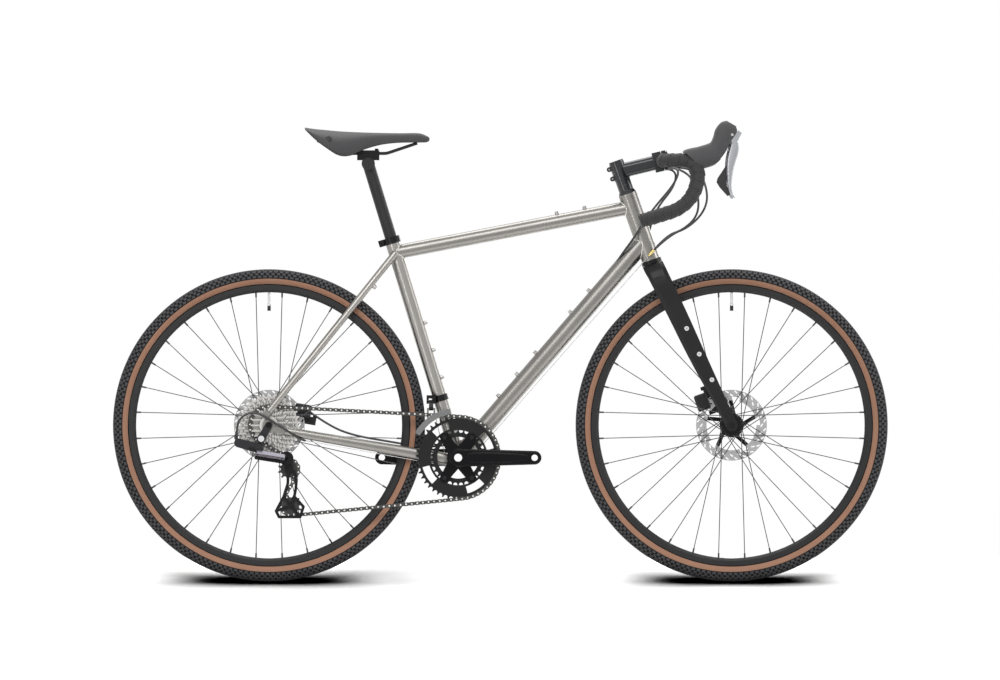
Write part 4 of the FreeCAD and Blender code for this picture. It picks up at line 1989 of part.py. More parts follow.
def caliper_solids(axle, centre, along, rotor_out, foot_out, support):
    """A caliper over the rotor with its pads, on a foot that is shaped to its support."""
    away = Vector(-along.z, 0, along.x)
    if away.dot(centre - axle) < 0:
        away = -away
    half_width = mm.caliper_width / 2
    middle = rotor_out + mm.caliper_width * CALIPER_OUT_SHARE
    start = centre - along * (mm.caliper_length / 2)
    end = centre + along * (mm.caliper_length / 2)
    body = bar(start, end, mm.caliper_height, middle - half_width, middle + half_width)
    body = softened(body, mm.caliper_round, lambda edge: edge.Length > mm.caliper_height / 2)
    foot_lift = (mm.caliper_height + mm.caliper_foot_height) / 2
    foot_centre = centre - away * foot_lift
    foot = bar(foot_centre - along * (mm.caliper_foot_length / 2), foot_centre + along * (mm.caliper_foot_length / 2),
               2 * mm.caliper_foot_height, foot_out - mm.caliper_foot_width / 2, foot_out + mm.caliper_foot_width / 2)
    half_slot = mm.caliper_slot / 2
    slot = disc(axle, mm.rotor_diameter / 2 + mm.pad_thickness, rotor_out - half_slot, rotor_out + half_slot)
    body = body.fuse(foot).removeSplitter().cut([slot, support])
    body = max(body.Solids, key=lambda piece: piece.Volume)
    near = mm.rotor_thickness / 2 + mm.pad_gap
    reach = mm.caliper_length * PAD_SHARE / 2
    pad = bar(centre - along * reach, centre + along * reach, mm.caliper_height * PAD_SHARE,
              rotor_out + near, rotor_out + half_slot)
    other = bar(centre - along * reach, centre + along * reach, mm.caliper_height * PAD_SHARE,
                rotor_out - half_slot, rotor_out - near)
    track = disc(axle, mm.rotor_diameter / 2, rotor_out - half_slot, rotor_out + half_slot)
    pieces = [body, pad.common(track), other.common(track)]
    for side in (1, -1):
        seat = foot_centre + along * (side * (mm.caliper_foot_length - mm.bolt_head_diameter) / 2)
        seat = across(seat + away * mm.caliper_foot_height, foot_out)
        pieces.append(bolt(seat, away, mm.bolt_head_diameter, mm.bolt_head_height, mm.bolt_key_width,
                           mm.bolt_key_depth))
    return Part.makeCompound(pieces)


def stay_out(distance):
    """How far out the chainstay's middle is, at a distance from the crank axle along the stay."""
    length = (STAY_END - STAY_FRONT).Length
    rest = (distance - mm.chainstay_waist_distance) / (length - mm.chainstay_waist_distance)
    before = (0.0, 0.0)
    for place in CHAINSTAY_REST_SHARES:
        if rest <= place[0]:
            break
        before = place
    part = (rest - before[0]) / (place[0] - before[0])
    share = before[1] + (place[1] - before[1]) * min(part, 1)
    return mm.chainstay_waist_spread + (DROPOUT_MIDDLE - mm.chainstay_waist_spread) * share


REAR_CALIPER = REAR_AXLE + Vector(mm.rear_caliper_forward, 0, mm.rear_caliper_up)
FRONT_CALIPER = FRONT_AXLE + Vector(-mm.front_caliper_back, 0, mm.front_caliper_up)


def build_calipers():
    distance = (REAR_CALIPER - STAY_FRONT).dot(STAY_HEADING)
    rear = caliper_solids(REAR_AXLE, REAR_CALIPER, -STAY_HEADING, mm.rear_rotor_offset, stay_out(distance),
                          chainstay_loft(0))
    node("rear_caliper", solid("RearCaliper", rear))
    share = 1 - (FRONT_CALIPER - FRONT_AXLE).dot(STEER_UP) / mm.fork_span
    out = mm.blade_top_spread + (BLADE_TIP_OUT - mm.blade_top_spread) * share
    front = caliper_solids(FRONT_AXLE, FRONT_CALIPER, STEER_UP, mm.front_rotor_offset, out, blade_solid())
    node("front_caliper", solid("FrontCaliper", front))


# Seat post, clamp and saddle

POST_HEAD = SEAT_TOP + SEAT_UP * mm.post_rise
RAIL_LEVEL = across(POST_HEAD, 0) + Z_AXIS * (mm.rail_height - POST_HEAD.z)
# Stations of the saddle from back to front: shares of its length, of the top and bottom depth, of its width
SADDLE_SHARES = [
    (0.0, 0.0, 0.08, 0.7), (0.075, 0.05, 0.4, 0.94), (0.17, 0.09, 0.72, 1.0), (0.27, 0.13, 0.98, 0.94),
    (0.365, 0.155, 0.985, 0.74), (0.48, 0.175, 0.77, 0.49), (0.61, 0.19, 0.61, 0.32), (0.75, 0.2, 0.54, 0.26),
    (0.91, 0.2, 0.53, 0.22), (0.975, 0.29, 0.52, 0.16), (1.0, 0.36, 0.46, 0.07),
]
ARCH_TURNS = 12
ARCH_POWER_SHARE = 0.75
# The rails' bends: shares of the saddle's length from the back, of its height above the straight, and of the spread
RAIL_SHARES = [(0.1, 0.46, 1.3), (0.3, 0.0, 1.0), (0.655, 0.0, 1.0), (0.9, 0.36, 0.35)]


def arch(share, top_share, bottom_share, width_share, inset):
    """A saddle section: an arch over a flat chord, drawn in by a thickness."""
    x = mm.saddle_back + mm.saddle_length * share
    top = mm.saddle_top - mm.saddle_height * top_share - inset
    bottom = mm.saddle_top - mm.saddle_height * bottom_share - inset * 2
    half = mm.saddle_width / 2 * width_share - inset
    points = []
    for index in range(ARCH_TURNS + 1):
        turn = math.pi * index / ARCH_TURNS
        aside = math.copysign(abs(math.cos(turn)) ** ARCH_POWER_SHARE, math.cos(turn)) * half
        points.append(Vector(x, aside, bottom + (top - bottom) * abs(math.sin(turn)) ** ARCH_POWER_SHARE))
    curve = Part.BSplineCurve()
    curve.interpolate(points)
    return Part.Wire([curve.toShape(), Part.LineSegment(points[-1], points[0]).toShape()])


def rail_path():
    points = []
    for share, rise_share, spread_share in RAIL_SHARES:
        x = mm.saddle_back + mm.saddle_length * share
        points.append(Vector(x, mm.rail_spread * spread_share, mm.rail_height + mm.saddle_height * rise_share))
    return rounded_path(points, [mm.rail_bend, mm.rail_bend])


def build_seat():
    low = SEAT_TOP - SEAT_UP * (mm.post_length - mm.post_rise)
    head = disc(POST_HEAD, mm.post_head_diameter / 2, -mm.post_head_length / 2, mm.post_head_length / 2)
    post = tube_body(low, POST_HEAD, mm.post_diameter).fuse(head).removeSplitter()
    near_head = POST_HEAD - SEAT_UP * mm.post_head_diameter
    node("seatpost", solid("Seatpost", post.cut(tube_body(low, near_head, mm.post_bore))))

    rail = pipe(rail_path(), mm.rail_diameter / 2)
    half_length = mm.clamp_length / 2
    half_width = mm.clamp_width / 2
    start = RAIL_LEVEL - X_AXIS * half_length
    end = RAIL_LEVEL + X_AXIS * half_length
    depth = mm.rail_height - POST_HEAD.z - mm.post_head_diameter / 4
    cradle = bar(start - Z_AXIS * (depth / 2), end - Z_AXIS * (depth / 2), depth, -half_width, half_width)
    lid_lift = Z_AXIS * ((mm.clamp_plate + mm.loose_gap) / 2)
    lid = bar(start + lid_lift, end + lid_lift, mm.clamp_plate - mm.loose_gap, -half_width, half_width)
    rail_space = tube_body(start - X_AXIS * half_length, end + X_AXIS * half_length,
                           mm.rail_diameter + 2 * mm.turning_fit)
    rail_space.translate(Y_AXIS * mm.rail_spread)
    spaces = [rail_space, mirrored(rail_space)]
    head_space = disc(POST_HEAD, mm.post_head_diameter / 2 + mm.turning_fit, -half_width, half_width)
    screws = []
    holes = []
    for side in (1, -1):
        place = RAIL_LEVEL + X_AXIS * (side * (half_length - mm.clamp_bolt_diameter))
        foot = place - Z_AXIS * depth
        shank = Part.makeCylinder(mm.clamp_bolt_diameter / 2, depth + mm.clamp_plate, foot, Z_AXIS)
        top = bolt(place + Z_AXIS * mm.clamp_plate, Z_AXIS, mm.bolt_head_diameter, mm.bolt_head_height,
                   mm.bolt_key_width, mm.bolt_key_depth)
        screws.append(shank.fuse(top).removeSplitter())
        holes.append(Part.makeCylinder(mm.clamp_bolt_diameter / 2 + mm.turning_fit, depth + mm.clamp_plate, foot,
                                       Z_AXIS))
    cradle = cradle.cut(spaces + [head_space] + holes)
    lid = lid.cut(spaces + holes)
    node("saddle_clamp", solid("SaddleClamp", Part.makeCompound([cradle, lid] + screws)))

    outside = loft([arch(*shares, 0) for shares in SADDLE_SHARES])
    inside = loft([arch(*shares, mm.saddle_skin) for shares in SADDLE_SHARES[2:-2]])
    cover = outside.cut([inside, rail, mirrored(rail)])
    cover = max(cover.Solids, key=lambda piece: piece.Volume)
    node("saddle_cover", solid("SaddleCover", cover))
    node("saddle_rails", solid("SaddleRails", pair(rail)))


build_fork()
build_spacers()
build_stem()
build_handlebar()
build_hoods()
build_levers()
build_calipers()
build_seat()


# Cables: points of each route, in shares of the cable reach from a named point

# From the middle of the handlebar: rear brake hose, right shift housing, left shift housing, front brake hose
REAR_HOSE_SHARES = [
    (0.075, -0.85, -0.182), (0.315, -0.46, -0.187), (0.295, -0.34, -0.567), (-0.145, -0.34, -1.007),
    (-0.415, -0.33, -1.367), (-0.675, -0.29, -1.777), (-0.925, -0.08, -2.107), (-1.345, 0.04, -2.727),
]
RIGHT_HOUSING_SHARES = [
    (0.164, -0.75, -0.095), (0.205, -0.4, -0.117), (0.675, -0.22, -0.347), (0.825, -0.04, -0.867),
    (0.775, 0.1, -1.267), (0.455, 0.22, -1.557), (0.095, 0.27, -1.677), (-0.195, 0.27, -2.007),
]
LEFT_HOUSING_SHARES = [
    (0.164, 0.75, -0.095), (0.205, 0.4, -0.117), (0.855, 0.22, -0.227), (1.035, 0.04, -0.767),
    (0.925, -0.12, -1.167), (0.575, -0.22, -1.507), (0.165, -0.27, -1.667), (-0.195, -0.27, -2.007),
]
FRONT_HOSE_SHARES = [
    (0.075, 0.85, -0.182), (0.315, 0.46, -0.187), (0.275, 0.36, -0.567), (-0.105, 0.35, -1.027),
    (-0.295, 0.35, -1.487), (-0.325, 0.36, -1.937), (-0.255, 0.45, -2.367), (-0.095, 0.56, -2.687),
    (0.115, 0.48, -3.007),
]
# From the crank axle: the rear brake hose along the left chainstay
STAY_HOSE_SHARES = [
    (0.572, 0.06, 0.645), (0.232, 0.3, 0.385), (-0.648, 0.31, 0.21), (-1.548, 0.415, 0.36),
    (-2.348, 0.54, 0.495), (-2.898, 0.62, 0.705), (-3.348, 0.64, 1.025),
]
# From the rear axle: the housing loop to the rear derailleur
REAR_LOOP_SHARES = [
    (0.82, -0.7, -0.345), (0.66, -0.8, -0.295), (0.42, -0.88, -0.115), (0.04, -0.885, 0.115),
    (-0.23, -0.89, 0.285), (-0.52, -0.9, 0.275), (-0.73, -0.91, 0.045), (-0.735, -0.92, -0.36),
]
# From the crank axle: the left adjuster, the wire guide, the turn under the shell, and what follows it
ADJUSTER_SHARES = (4.422, 0.27, 4.685)
GUIDE_SHARES = (1.118, 0.06, 0.921)
SHELL_TURN_SHARES = (0.083, 0.06, -0.242)
STAY_WIRE_SHARES = [(-0.948, -0.345, -0.063), (-3.443, -0.7, 0.385)]
CHANGER_WIRE_SHARES = [(-0.268, 0.02, -0.265), (-0.538, -0.14, 1.065)]


def route(origin, shares):
    return [across(origin, 0) + Vector(*place) * mm.cable_reach for place in shares]


def build_control_cables():
    """The four cables from the handlebar, cut off flush with what they enter."""
    radius = mm.cable_diameter / 2
    rear_hose = cable("rear brake hose", route(BAR_CENTRE, REAR_HOSE_SHARES), radius)
    rear_hose = rear_hose.cut(tube_body(CRANK_AXLE, DOWN_FRONT, mm.down_tube_diameter + 2 * mm.turning_fit))
    rear_hose = max(rear_hose.Solids, key=lambda piece: piece.Volume)
    right = cable("right shift housing", route(BAR_CENTRE, RIGHT_HOUSING_SHARES), radius)
    left = cable("left shift housing", route(BAR_CENTRE, LEFT_HOUSING_SHARES), radius)
    front_hose = cable("front brake hose", route(BAR_CENTRE, FRONT_HOSE_SHARES), radius)
    front_hose = max(front_hose.cut(blade_solid()).Solids, key=lambda piece: piece.Volume)
    node("control_cables", solid("ControlCables", Part.makeCompound([rear_hose, right, left, front_hose])))


def build_frame_cables():
    """The adjusters, bare wires, rear housing loop and rear hose that the frame holds."""
    pieces = []
    wire = mm.wire_diameter / 2
    tip = route(CRANK_AXLE, [ADJUSTER_SHARES])[0]
    guide = route(CRANK_AXLE, [GUIDE_SHARES])[0]
    turn = route(CRANK_AXLE, [SHELL_TURN_SHARES])[0]
    heading = (guide - tip).normalize()
    heel = tip + heading * mm.adjuster_length
    barrel = tube_body(tip + heading * mm.loose_gap, heel, mm.adjuster_diameter)
    foot = Part.makeCylinder(mm.adjuster_diameter / 2, heel.y, across(heel - heading * mm.adjuster_diameter, 0),
                             Y_AXIS)
    barrel = barrel.fuse(foot).removeSplitter()
    head = tube_body(HEAD_BOTTOM, HEAD_TOP, mm.head_tube_diameter)
    down = tube_body(CRANK_AXLE, DOWN_FRONT, mm.down_tube_diameter)
    barrel = max(barrel.cut([head, down]).Solids, key=lambda piece: piece.BoundBox.YMax)
    pieces.extend([barrel, mirrored(barrel)])
    right = [Vector(point.x, -point.y, point.z) for point in (heel, guide, turn)]
    right.extend(route(CRANK_AXLE, STAY_WIRE_SHARES))
    shift_wire = pipe(rounded_path(right, [mm.wire_ease, mm.wire_bend, mm.wire_ease]), wire)
    left = [heel, guide, turn] + route(CRANK_AXLE, CHANGER_WIRE_SHARES)
    changer_wire = pipe(rounded_path(left, [mm.wire_ease, mm.wire_bend, mm.wire_bend]), wire)
    length = mm.guide_block_length
    block_half = guide.y + length / 2
    start = across(guide - heading * (length / 2), 0)
    clip = bar(start, across(guide + heading * (length / 2), 0), length, -block_half, block_half)
    clip = clip.cut([down, shift_wire, changer_wire])
    clip = max(clip.Solids, key=lambda piece: piece.Volume)
    pieces.extend([shift_wire, changer_wire, clip])
    radius = mm.cable_diameter / 2
    loop = cable("rear shift housing", route(REAR_AXLE, REAR_LOOP_SHARES), radius)
    loop = loop.cut(NODES_BY_LABEL["derailleur_mount"].Shape)
    pieces.append(max(loop.Solids, key=lambda piece: piece.Volume))
    hose = cable("rear hose on the stay", route(CRANK_AXLE, STAY_HOSE_SHARES), radius)
    node("frame_cables", solid("FrameCables", Part.makeCompound(pieces + [trimmed_hose(hose, down)])))


def trimmed_hose(hose, down):
    """The rear hose, cut off flush with the down tube and the caliper."""
    caliper = NODES_BY_LABEL["rear_caliper"].Shape
    return max(hose.cut([down, caliper]).Solids, key=lambda piece: piece.Volume)


build_control_cables()
build_frame_cables()


# Checks and export

doc.recompute()
for piece in doc.Objects:
    if "Invalid" in piece.State or "Error" in piece.State:
        raise RuntimeError(f"{piece.Name} failed: {piece.State}")
for piece in NODES:
    if piece.Shape.isNull() or not piece.Shape.isValid() or not piece.Shape.Solids:
        raise RuntimeError(f"{piece.Label} has no valid shape")
os.makedirs("parts", exist_ok=True)
for piece in NODES:
    piece.Shape.exportStep(f"parts/{piece.Label}.step")
    print(f"{piece.Label}: {len(piece.Shape.Solids)} solids, {piece.Shape.Volume / 1000:.1f} cm3")
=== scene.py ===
"""Look of the gravel bike: materials for the CAD nodes, and detailed soft and fine pieces. Lengths are metres."""
import math

import bmesh
import bpy
from mathutils import Matrix, Vector


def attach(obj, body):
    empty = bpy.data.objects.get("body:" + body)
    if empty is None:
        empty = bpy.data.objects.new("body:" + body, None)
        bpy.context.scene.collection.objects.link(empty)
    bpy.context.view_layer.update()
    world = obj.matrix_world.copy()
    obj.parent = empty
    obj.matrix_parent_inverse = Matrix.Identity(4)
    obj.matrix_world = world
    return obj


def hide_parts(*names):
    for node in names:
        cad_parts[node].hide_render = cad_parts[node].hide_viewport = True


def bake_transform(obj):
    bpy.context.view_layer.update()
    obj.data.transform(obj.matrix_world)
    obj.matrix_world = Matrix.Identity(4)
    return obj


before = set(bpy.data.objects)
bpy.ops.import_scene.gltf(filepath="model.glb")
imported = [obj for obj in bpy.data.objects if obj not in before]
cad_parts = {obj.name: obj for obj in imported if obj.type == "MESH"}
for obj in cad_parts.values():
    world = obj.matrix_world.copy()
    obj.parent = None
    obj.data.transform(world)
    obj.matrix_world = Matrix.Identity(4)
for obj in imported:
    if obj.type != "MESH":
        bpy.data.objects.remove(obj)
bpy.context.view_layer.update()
MM = 0.001
Y_AXIS = Vector((0, 1, 0))
Z_AXIS = Vector((0, 0, 1))


# Layout, as in the CAD

def ray(degrees):
    """A direction in the plane of symmetry, by its angle above straight ahead."""
    return Vector((math.cos(math.radians(degrees)), 0, math.sin(math.radians(degrees))))


WHEEL_RADIUS = 0.3525
HALF_WHEELBASE = 0.522
CHAINSTAY = 0.433
SHELL_DROP = 0.073
SEAT_TUBE = 0.520
HEAD_TUBE = 0.158
FORK_LENGTH = 0.4026
FORK_OFFSET = 0.047
LOWER_BEARING = 0.010
SPACERS = 0.0342
HALF_STEM_CLAMP = 0.020
STEM = 0.100
TOP_TUBE_UP = 0.484
TOP_TUBE_DOWN = 0.0315
DOWN_TUBE_UP = 0.045
SEATSTAY_UP = 0.483
SEATSTAY_ASIDE = 0.020
HEAD_RADIUS = 0.021
SHELL_RADIUS = 0.021
TOP_RADIUS = 0.0159
DOWN_RADIUS = 0.020
SEAT_RADIUS = 0.016

REAR_AXLE = Vector((-HALF_WHEELBASE, 0, WHEEL_RADIUS))
FRONT_AXLE = Vector((HALF_WHEELBASE, 0, WHEEL_RADIUS))
CRANK_AXLE = REAR_AXLE + Vector((math.sqrt(CHAINSTAY ** 2 - SHELL_DROP ** 2), 0, -SHELL_DROP))
SEAT_UP = ray(107)
SEAT_TOP = CRANK_AXLE + SEAT_UP * SEAT_TUBE
STEER_UP = ray(109.5)
STEER_FORWARD = ray(19.5)
CROWN_TOP = FRONT_AXLE + STEER_UP * FORK_LENGTH - STEER_FORWARD * FORK_OFFSET
HEAD_BOTTOM = CROWN_TOP + STEER_UP * LOWER_BEARING
HEAD_TOP = HEAD_BOTTOM + STEER_UP * HEAD_TUBE
TOP_REAR = CRANK_AXLE + SEAT_UP * TOP_TUBE_UP
TOP_FRONT = HEAD_TOP - STEER_UP * TOP_TUBE_DOWN
DOWN_FRONT = HEAD_BOTTOM + STEER_UP * DOWN_TUBE_UP
STEM_CENTRE = HEAD_TOP + STEER_UP * (SPACERS + HALF_STEM_CLAMP)
BAR_CENTRE = STEM_CENTRE + ray(13.5) * STEM
SEATSTAY_TOP = CRANK_AXLE + SEAT_UP * SEATSTAY_UP + Y_AXIS * SEATSTAY_ASIDE
SEATSTAY_FOOT = REAR_AXLE + Vector((0, 0.074, 0.031))


# Node helpers

def give(tree, made, values):
    """Set a node's inputs, or the node itself; a value that is a socket is linked."""
    for key, value in values.items():
        if isinstance(value, bpy.types.NodeSocket):
            tree.links.new(value, made.inputs[key])
        elif key in made.inputs:
            made.inputs[key].default_value = value
        else:
            setattr(made, key, value)


def node(tree, kind, **values):
    made = tree.nodes.new(kind)
    give(tree, made, values)
    return made


def new_material(name):
    """A new material, its node tree and its shader."""
    material = bpy.data.materials.new(name)
    material.use_nodes = True
    tree = material.node_tree
    return material, tree, tree.nodes["Principled BSDF"]


def maths(tree, operation, *values):
    """The result of an operation on sockets and numbers."""
    made = node(tree, "ShaderNodeMath", operation=operation)
    for entry, value in zip(made.inputs, values):
        if isinstance(value, bpy.types.NodeSocket):
            tree.links.new(value, entry)
        else:
            entry.default_value = value
    return made.outputs[0]


def coordinates(tree, stretch=(1, 1, 1), turn=(0, 0, 0)):
    """The object's coordinates, stretched along axes that are turned first."""
    source = node(tree, "ShaderNodeTexCoord")
    mapping = node(tree, "ShaderNodeMapping", vector_type="TEXTURE", Vector=source.outputs["Object"],
                   Scale=[1 / value for value in stretch], Rotation=turn)
    return mapping.outputs["Vector"]


def ramp(tree, value, low, high, start=0.0, end=1.0):
    """A value that goes from low to high while another goes from start to end."""
    made = node(tree, "ShaderNodeMapRange")
    give(tree, made, {"Value": value, "From Min": start, "From Max": end, "To Min": low, "To Max": high})
    return made.outputs["Result"]


def mixed(tree, factor, first, second):
    """A colour between two others, each a socket or a fixed colour."""
    first, second = ((*colour, 1) if isinstance(colour, tuple) else colour for colour in (first, second))
    made = node(tree, "ShaderNodeMix", data_type="RGBA", Factor=factor, A=first, B=second)
    return next(socket for socket in made.outputs if socket.type == "RGBA")


def noise(tree, vector, scale, detail=4, roughness=0.6):
    made = node(tree, "ShaderNodeTexNoise", Vector=vector, Scale=scale, Detail=detail, Roughness=roughness)
    return made.outputs["Fac"]


def bump(tree, shader, height, strength, distance, edge=0.0):
    """A grain, on corners that are rounded off to a radius."""
    made = node(tree, "ShaderNodeBump", Height=height, Strength=strength, Distance=distance)
    if edge:
        give(tree, made, {"Normal": node(tree, "ShaderNodeBevel", Radius=edge).outputs["Normal"]})
    give(tree, shader, {"Normal": made.outputs["Normal"]})


def side_distance(tree, centre):
    """How far a point is from a centre, seen from the side."""
    source = node(tree, "ShaderNodeTexCoord")
    flat = node(tree, "ShaderNodeVectorMath", operation="MULTIPLY")
    flat.inputs[1].default_value = (1, 0, 1)
    tree.links.new(source.outputs["Object"], flat.inputs[0])
    away = node(tree, "ShaderNodeVectorMath", operation="DISTANCE")
    away.inputs[1].default_value = (centre.x, 0, centre.z)
    tree.links.new(flat.outputs["Vector"], away.inputs[0])
    return away.outputs["Value"]


# Materials

BARE_SILVER = (0.62, 0.62, 0.63)
# Painted shade for narrow gaps: its dark colour, and the shares of occlusion over which it fades out
GAP_SHADE = (0.012, 0.011, 0.010)
GAP_SHADE_SHARES = (0.35, 0.95)
MOTTLE = (18, 3)
COAT_ROUGHNESS = 0.08
GRAIN_STRENGTH = 0.35


def surface(name, colour, worn, metallic, rough, grain, depth, stretch=(1, 1, 1), turn=(0, 0, 0), coat=0.0,
            specular=0.5, spots=(), shaded_gaps=0.0, edge=0.0):
    """A material with mottled colour, uneven gloss and a fine grain.

    Each spot is a point and a radius, on the side that is seen, of bare silver metal. The gap width is that of the
    spaces, such as those between sprockets, that are darkened with painted shade.
    """
    material, tree, shader = new_material(name)
    fine = noise(tree, coordinates(tree, stretch, turn), grain)
    tone = mixed(tree, noise(tree, coordinates(tree), *MOTTLE), colour, worn)
    # Painted shade in narrow gaps
    if shaded_gaps:
        tone = painted_gap_shade(tree, tone, shaded_gaps)
    if spots:
        mask = spot_mask(tree, spots)
        tone = mixed(tree, mask, tone, BARE_SILVER)
        metallic = ramp(tree, mask, metallic, 1.0)
    give(tree, shader, {"Base Color": tone, "Metallic": metallic, "Roughness": ramp(tree, fine, *rough),
                        "Specular IOR Level": specular, "Coat Weight": coat, "Coat Roughness": COAT_ROUGHNESS})
    bump(tree, shader, fine, GRAIN_STRENGTH, depth, edge)
    return material


def spot_mask(tree, spots):
    """One inside the round spots, each a centre seen from the side and a radius, and nought elsewhere."""
    total = 0.0
    for centre, radius in spots:
        total = maths(tree, "MAXIMUM", total, maths(tree, "LESS_THAN", side_distance(tree, centre), radius))
    return total


def painted_gap_shade(tree, tone, width):
    """A colour darkened with painted shade in spaces about as narrow as a width."""
    hollow = node(tree, "ShaderNodeAmbientOcclusion", Distance=width, samples=8)
    return mixed(tree, ramp(tree, hollow.outputs["AO"], 0.0, 1.0, *GAP_SHADE_SHARES), GAP_SHADE, tone)


def moulded(name, colour, worn, rough, pores, fine, broad, strength, depth):
    """A soft skin with pores in a fine grain; fine and broad are each a noise's scale and detail."""
    material, tree, shader = new_material(name)
    vector = coordinates(tree)
    cells = node(tree, "ShaderNodeTexVoronoi", Vector=vector, Scale=pores)
    grain = noise(tree, vector, *fine)
    give(tree, shader, {"Base Color": mixed(tree, noise(tree, vector, *broad), colour, worn),
                        "Roughness": ramp(tree, grain, *rough)})
    bump(tree, shader, maths(tree, "ADD", cells.outputs["Distance"], grain), strength, depth)
    return material


BRUSH_STRETCH = (7, 0.35, 0.35)


def brushed(name, heading, colour=(0.195, 0.187, 0.175), worn=(0.245, 0.235, 0.221)):
    """Brushed titanium with its grain round a tube that runs along a heading in the plane of symmetry."""
    angle = math.atan2(heading.z, heading.x)
    return surface(name, colour, worn, 1.0, (0.28, 0.38), 260, 0.000004, stretch=BRUSH_STRETCH, turn=(0, -angle, 0))


# Bare bolts and valves, drawn as spots: how far up the fork they are, ahead of its line, and their radius
CARGO_FIRST = 0.112
CARGO_PITCH = 0.064
CARGO_AHEAD = 0.005
CARGO_RADIUS = 0.0052
CARGO_SPOTS = []
for step in range(3):
    up = CARGO_FIRST + CARGO_PITCH * step
    ahead = CARGO_AHEAD - FORK_OFFSET * up / FORK_LENGTH
    CARGO_SPOTS.append((FRONT_AXLE + STEER_UP * up + STEER_FORWARD * ahead, CARGO_RADIUS))
HANGER_BOLT = REAR_AXLE + Vector((-0.017, 0, -0.030))
HANGER_SPOTS = [(HANGER_BOLT, 0.0068), (REAR_AXLE, 0.0058)]
VALVE_UP = 0.289
VALVE_RADIUS = 0.019
VALVE_SPOTS = [(axle + Z_AXIS * VALVE_UP, VALVE_RADIUS) for axle in (FRONT_AXLE, REAR_AXLE)]

# Each surface: name, colour, worn colour, share of metal, range of roughness, scale of the grain and its depth
TITANIUM = brushed("titanium", Vector((1, 0, 0)))
BLACK_METAL = surface("black_anodised", (0.005, 0.005, 0.006), (0.009, 0.009, 0.010), 0.0, (0.26, 0.38), 900, 0.000005,
                      coat=0.04, specular=0.16, edge=0.0012)
CRANK_BLACK = surface("crank_black", (0.003, 0.003, 0.004), (0.006, 0.006, 0.007), 0.0, (0.18, 0.28), 900, 0.000004,
                      coat=0.03, specular=0.10, edge=0.003)
RING_BLACK = surface("ring_black", (0.007, 0.007, 0.008), (0.012, 0.012, 0.013), 0.0, (0.24, 0.36), 900, 0.000005,
                     specular=0.24, edge=0.001)
STEM_BLACK = surface("stem_black", (0.008, 0.009, 0.011), (0.013, 0.014, 0.017), 0.0, (0.16, 0.26), 900, 0.000004,
                     coat=0.15, specular=0.45, edge=0.0015)
HANGER_BLACK = surface("hanger_black", (0.009, 0.009, 0.011), (0.015, 0.015, 0.018), 0.0, (0.26, 0.38), 900, 0.000005,
                       coat=0.08, specular=0.3, spots=HANGER_SPOTS)
GLOSS_BLACK = surface("gloss_black", (0.004, 0.004, 0.005), (0.007, 0.007, 0.008), 0.0, (0.30, 0.42), 400, 0.000004,
                      specular=0.26, spots=CARGO_SPOTS)
SATIN_BLACK = surface("satin_black", (0.009, 0.009, 0.010), (0.016, 0.016, 0.017), 0.0, (0.38, 0.55), 700, 0.00001,
                      specular=0.3)
RUBBER = surface("rubber", (0.020, 0.020, 0.021), (0.034, 0.034, 0.035), 0.0, (0.68, 0.88), 1200, 0.00008,
                 specular=0.3, spots=VALVE_SPOTS)
SILVER = surface("silver", (0.50, 0.50, 0.50), (0.66, 0.66, 0.66), 1.0, (0.22, 0.36), 600, 0.00002)
# The cassette gets painted shade between its sprockets
COG_STEEL = surface("cog_steel", (0.54, 0.525, 0.50), (0.70, 0.685, 0.66), 1.0, (0.22, 0.34), 600, 0.00002, shaded_gaps=0.008)
STEEL = surface("steel", (0.30, 0.295, 0.285), (0.42, 0.41, 0.40), 1.0, (0.26, 0.42), 700, 0.00002)
DARK_STEEL = surface("dark_steel", (0.15, 0.15, 0.15), (0.23, 0.23, 0.23), 1.0, (0.24, 0.36), 700, 0.00001, edge=0.0008)
# The chain gets painted shade between its links
CHAIN_STEEL = surface("chain_steel", (0.055, 0.053, 0.050), (0.10, 0.097, 0.092), 1.0, (0.26, 0.40), 700, 0.00002,
                      shaded_gaps=0.005)
SPOKE_STEEL = surface("spoke_steel", (0.045, 0.045, 0.05), (0.075, 0.075, 0.08), 0.9, (0.26, 0.38), 500, 0.00001)
LEVER_GREY = surface("lever_grey", (0.315, 0.32, 0.34), (0.385, 0.39, 0.41), 0.9, (0.24, 0.36), 800, 0.00001)
LILAC = surface("lilac_silver", (0.36, 0.345, 0.40), (0.46, 0.445, 0.50), 0.95, (0.24, 0.36), 700, 0.00002)
PLASTIC = surface("black_plastic", (0.012, 0.012, 0.013), (0.020, 0.020, 0.021), 0.0, (0.42, 0.60), 1400, 0.00003,
                  specular=0.4)
GOLD = surface("gold", (0.56, 0.45, 0.17), (0.66, 0.54, 0.24), 1.0, (0.22, 0.34), 800, 0.00002)
CABLE_LOOK = surface("cable_black", (0.012, 0.012, 0.013), (0.022, 0.022, 0.023), 0.0, (0.34, 0.5), 1500, 0.00004)
WIRE_LOOK = surface("wire_steel", (0.42, 0.42, 0.42), (0.55, 0.55, 0.55), 1.0, (0.25, 0.4), 2500, 0.00005)
BEAD_LOOK = surface("weld_bead", (0.46, 0.44, 0.41), (0.60, 0.575, 0.54), 1.0, (0.26, 0.46), 500, 0.00008)

# Each moulded skin: name, colour, worn colour, roughness, pores, fine and broad noise, strength and depth of the grain
TAPE_LOOK = moulded("bar_tape_cork", (0.013, 0.013, 0.014), (0.025, 0.025, 0.026), (0.62, 0.86), 420, (1600, 3),
                    (40, 4), 0.35, 0.0002)
HOOD_LOOK = moulded("hood_moulded_rubber", (0.042, 0.042, 0.044), (0.060, 0.060, 0.063), (0.55, 0.78), 520, (1800, 3),
                    (30, 4), 0.22, 0.00015)
SADDLE_LOOK = moulded("saddle_rubber", (0.021, 0.021, 0.023), (0.034, 0.034, 0.036), (0.55, 0.75), 700, (1400, 4),
                      (22, 5), 0.3, 0.00015)

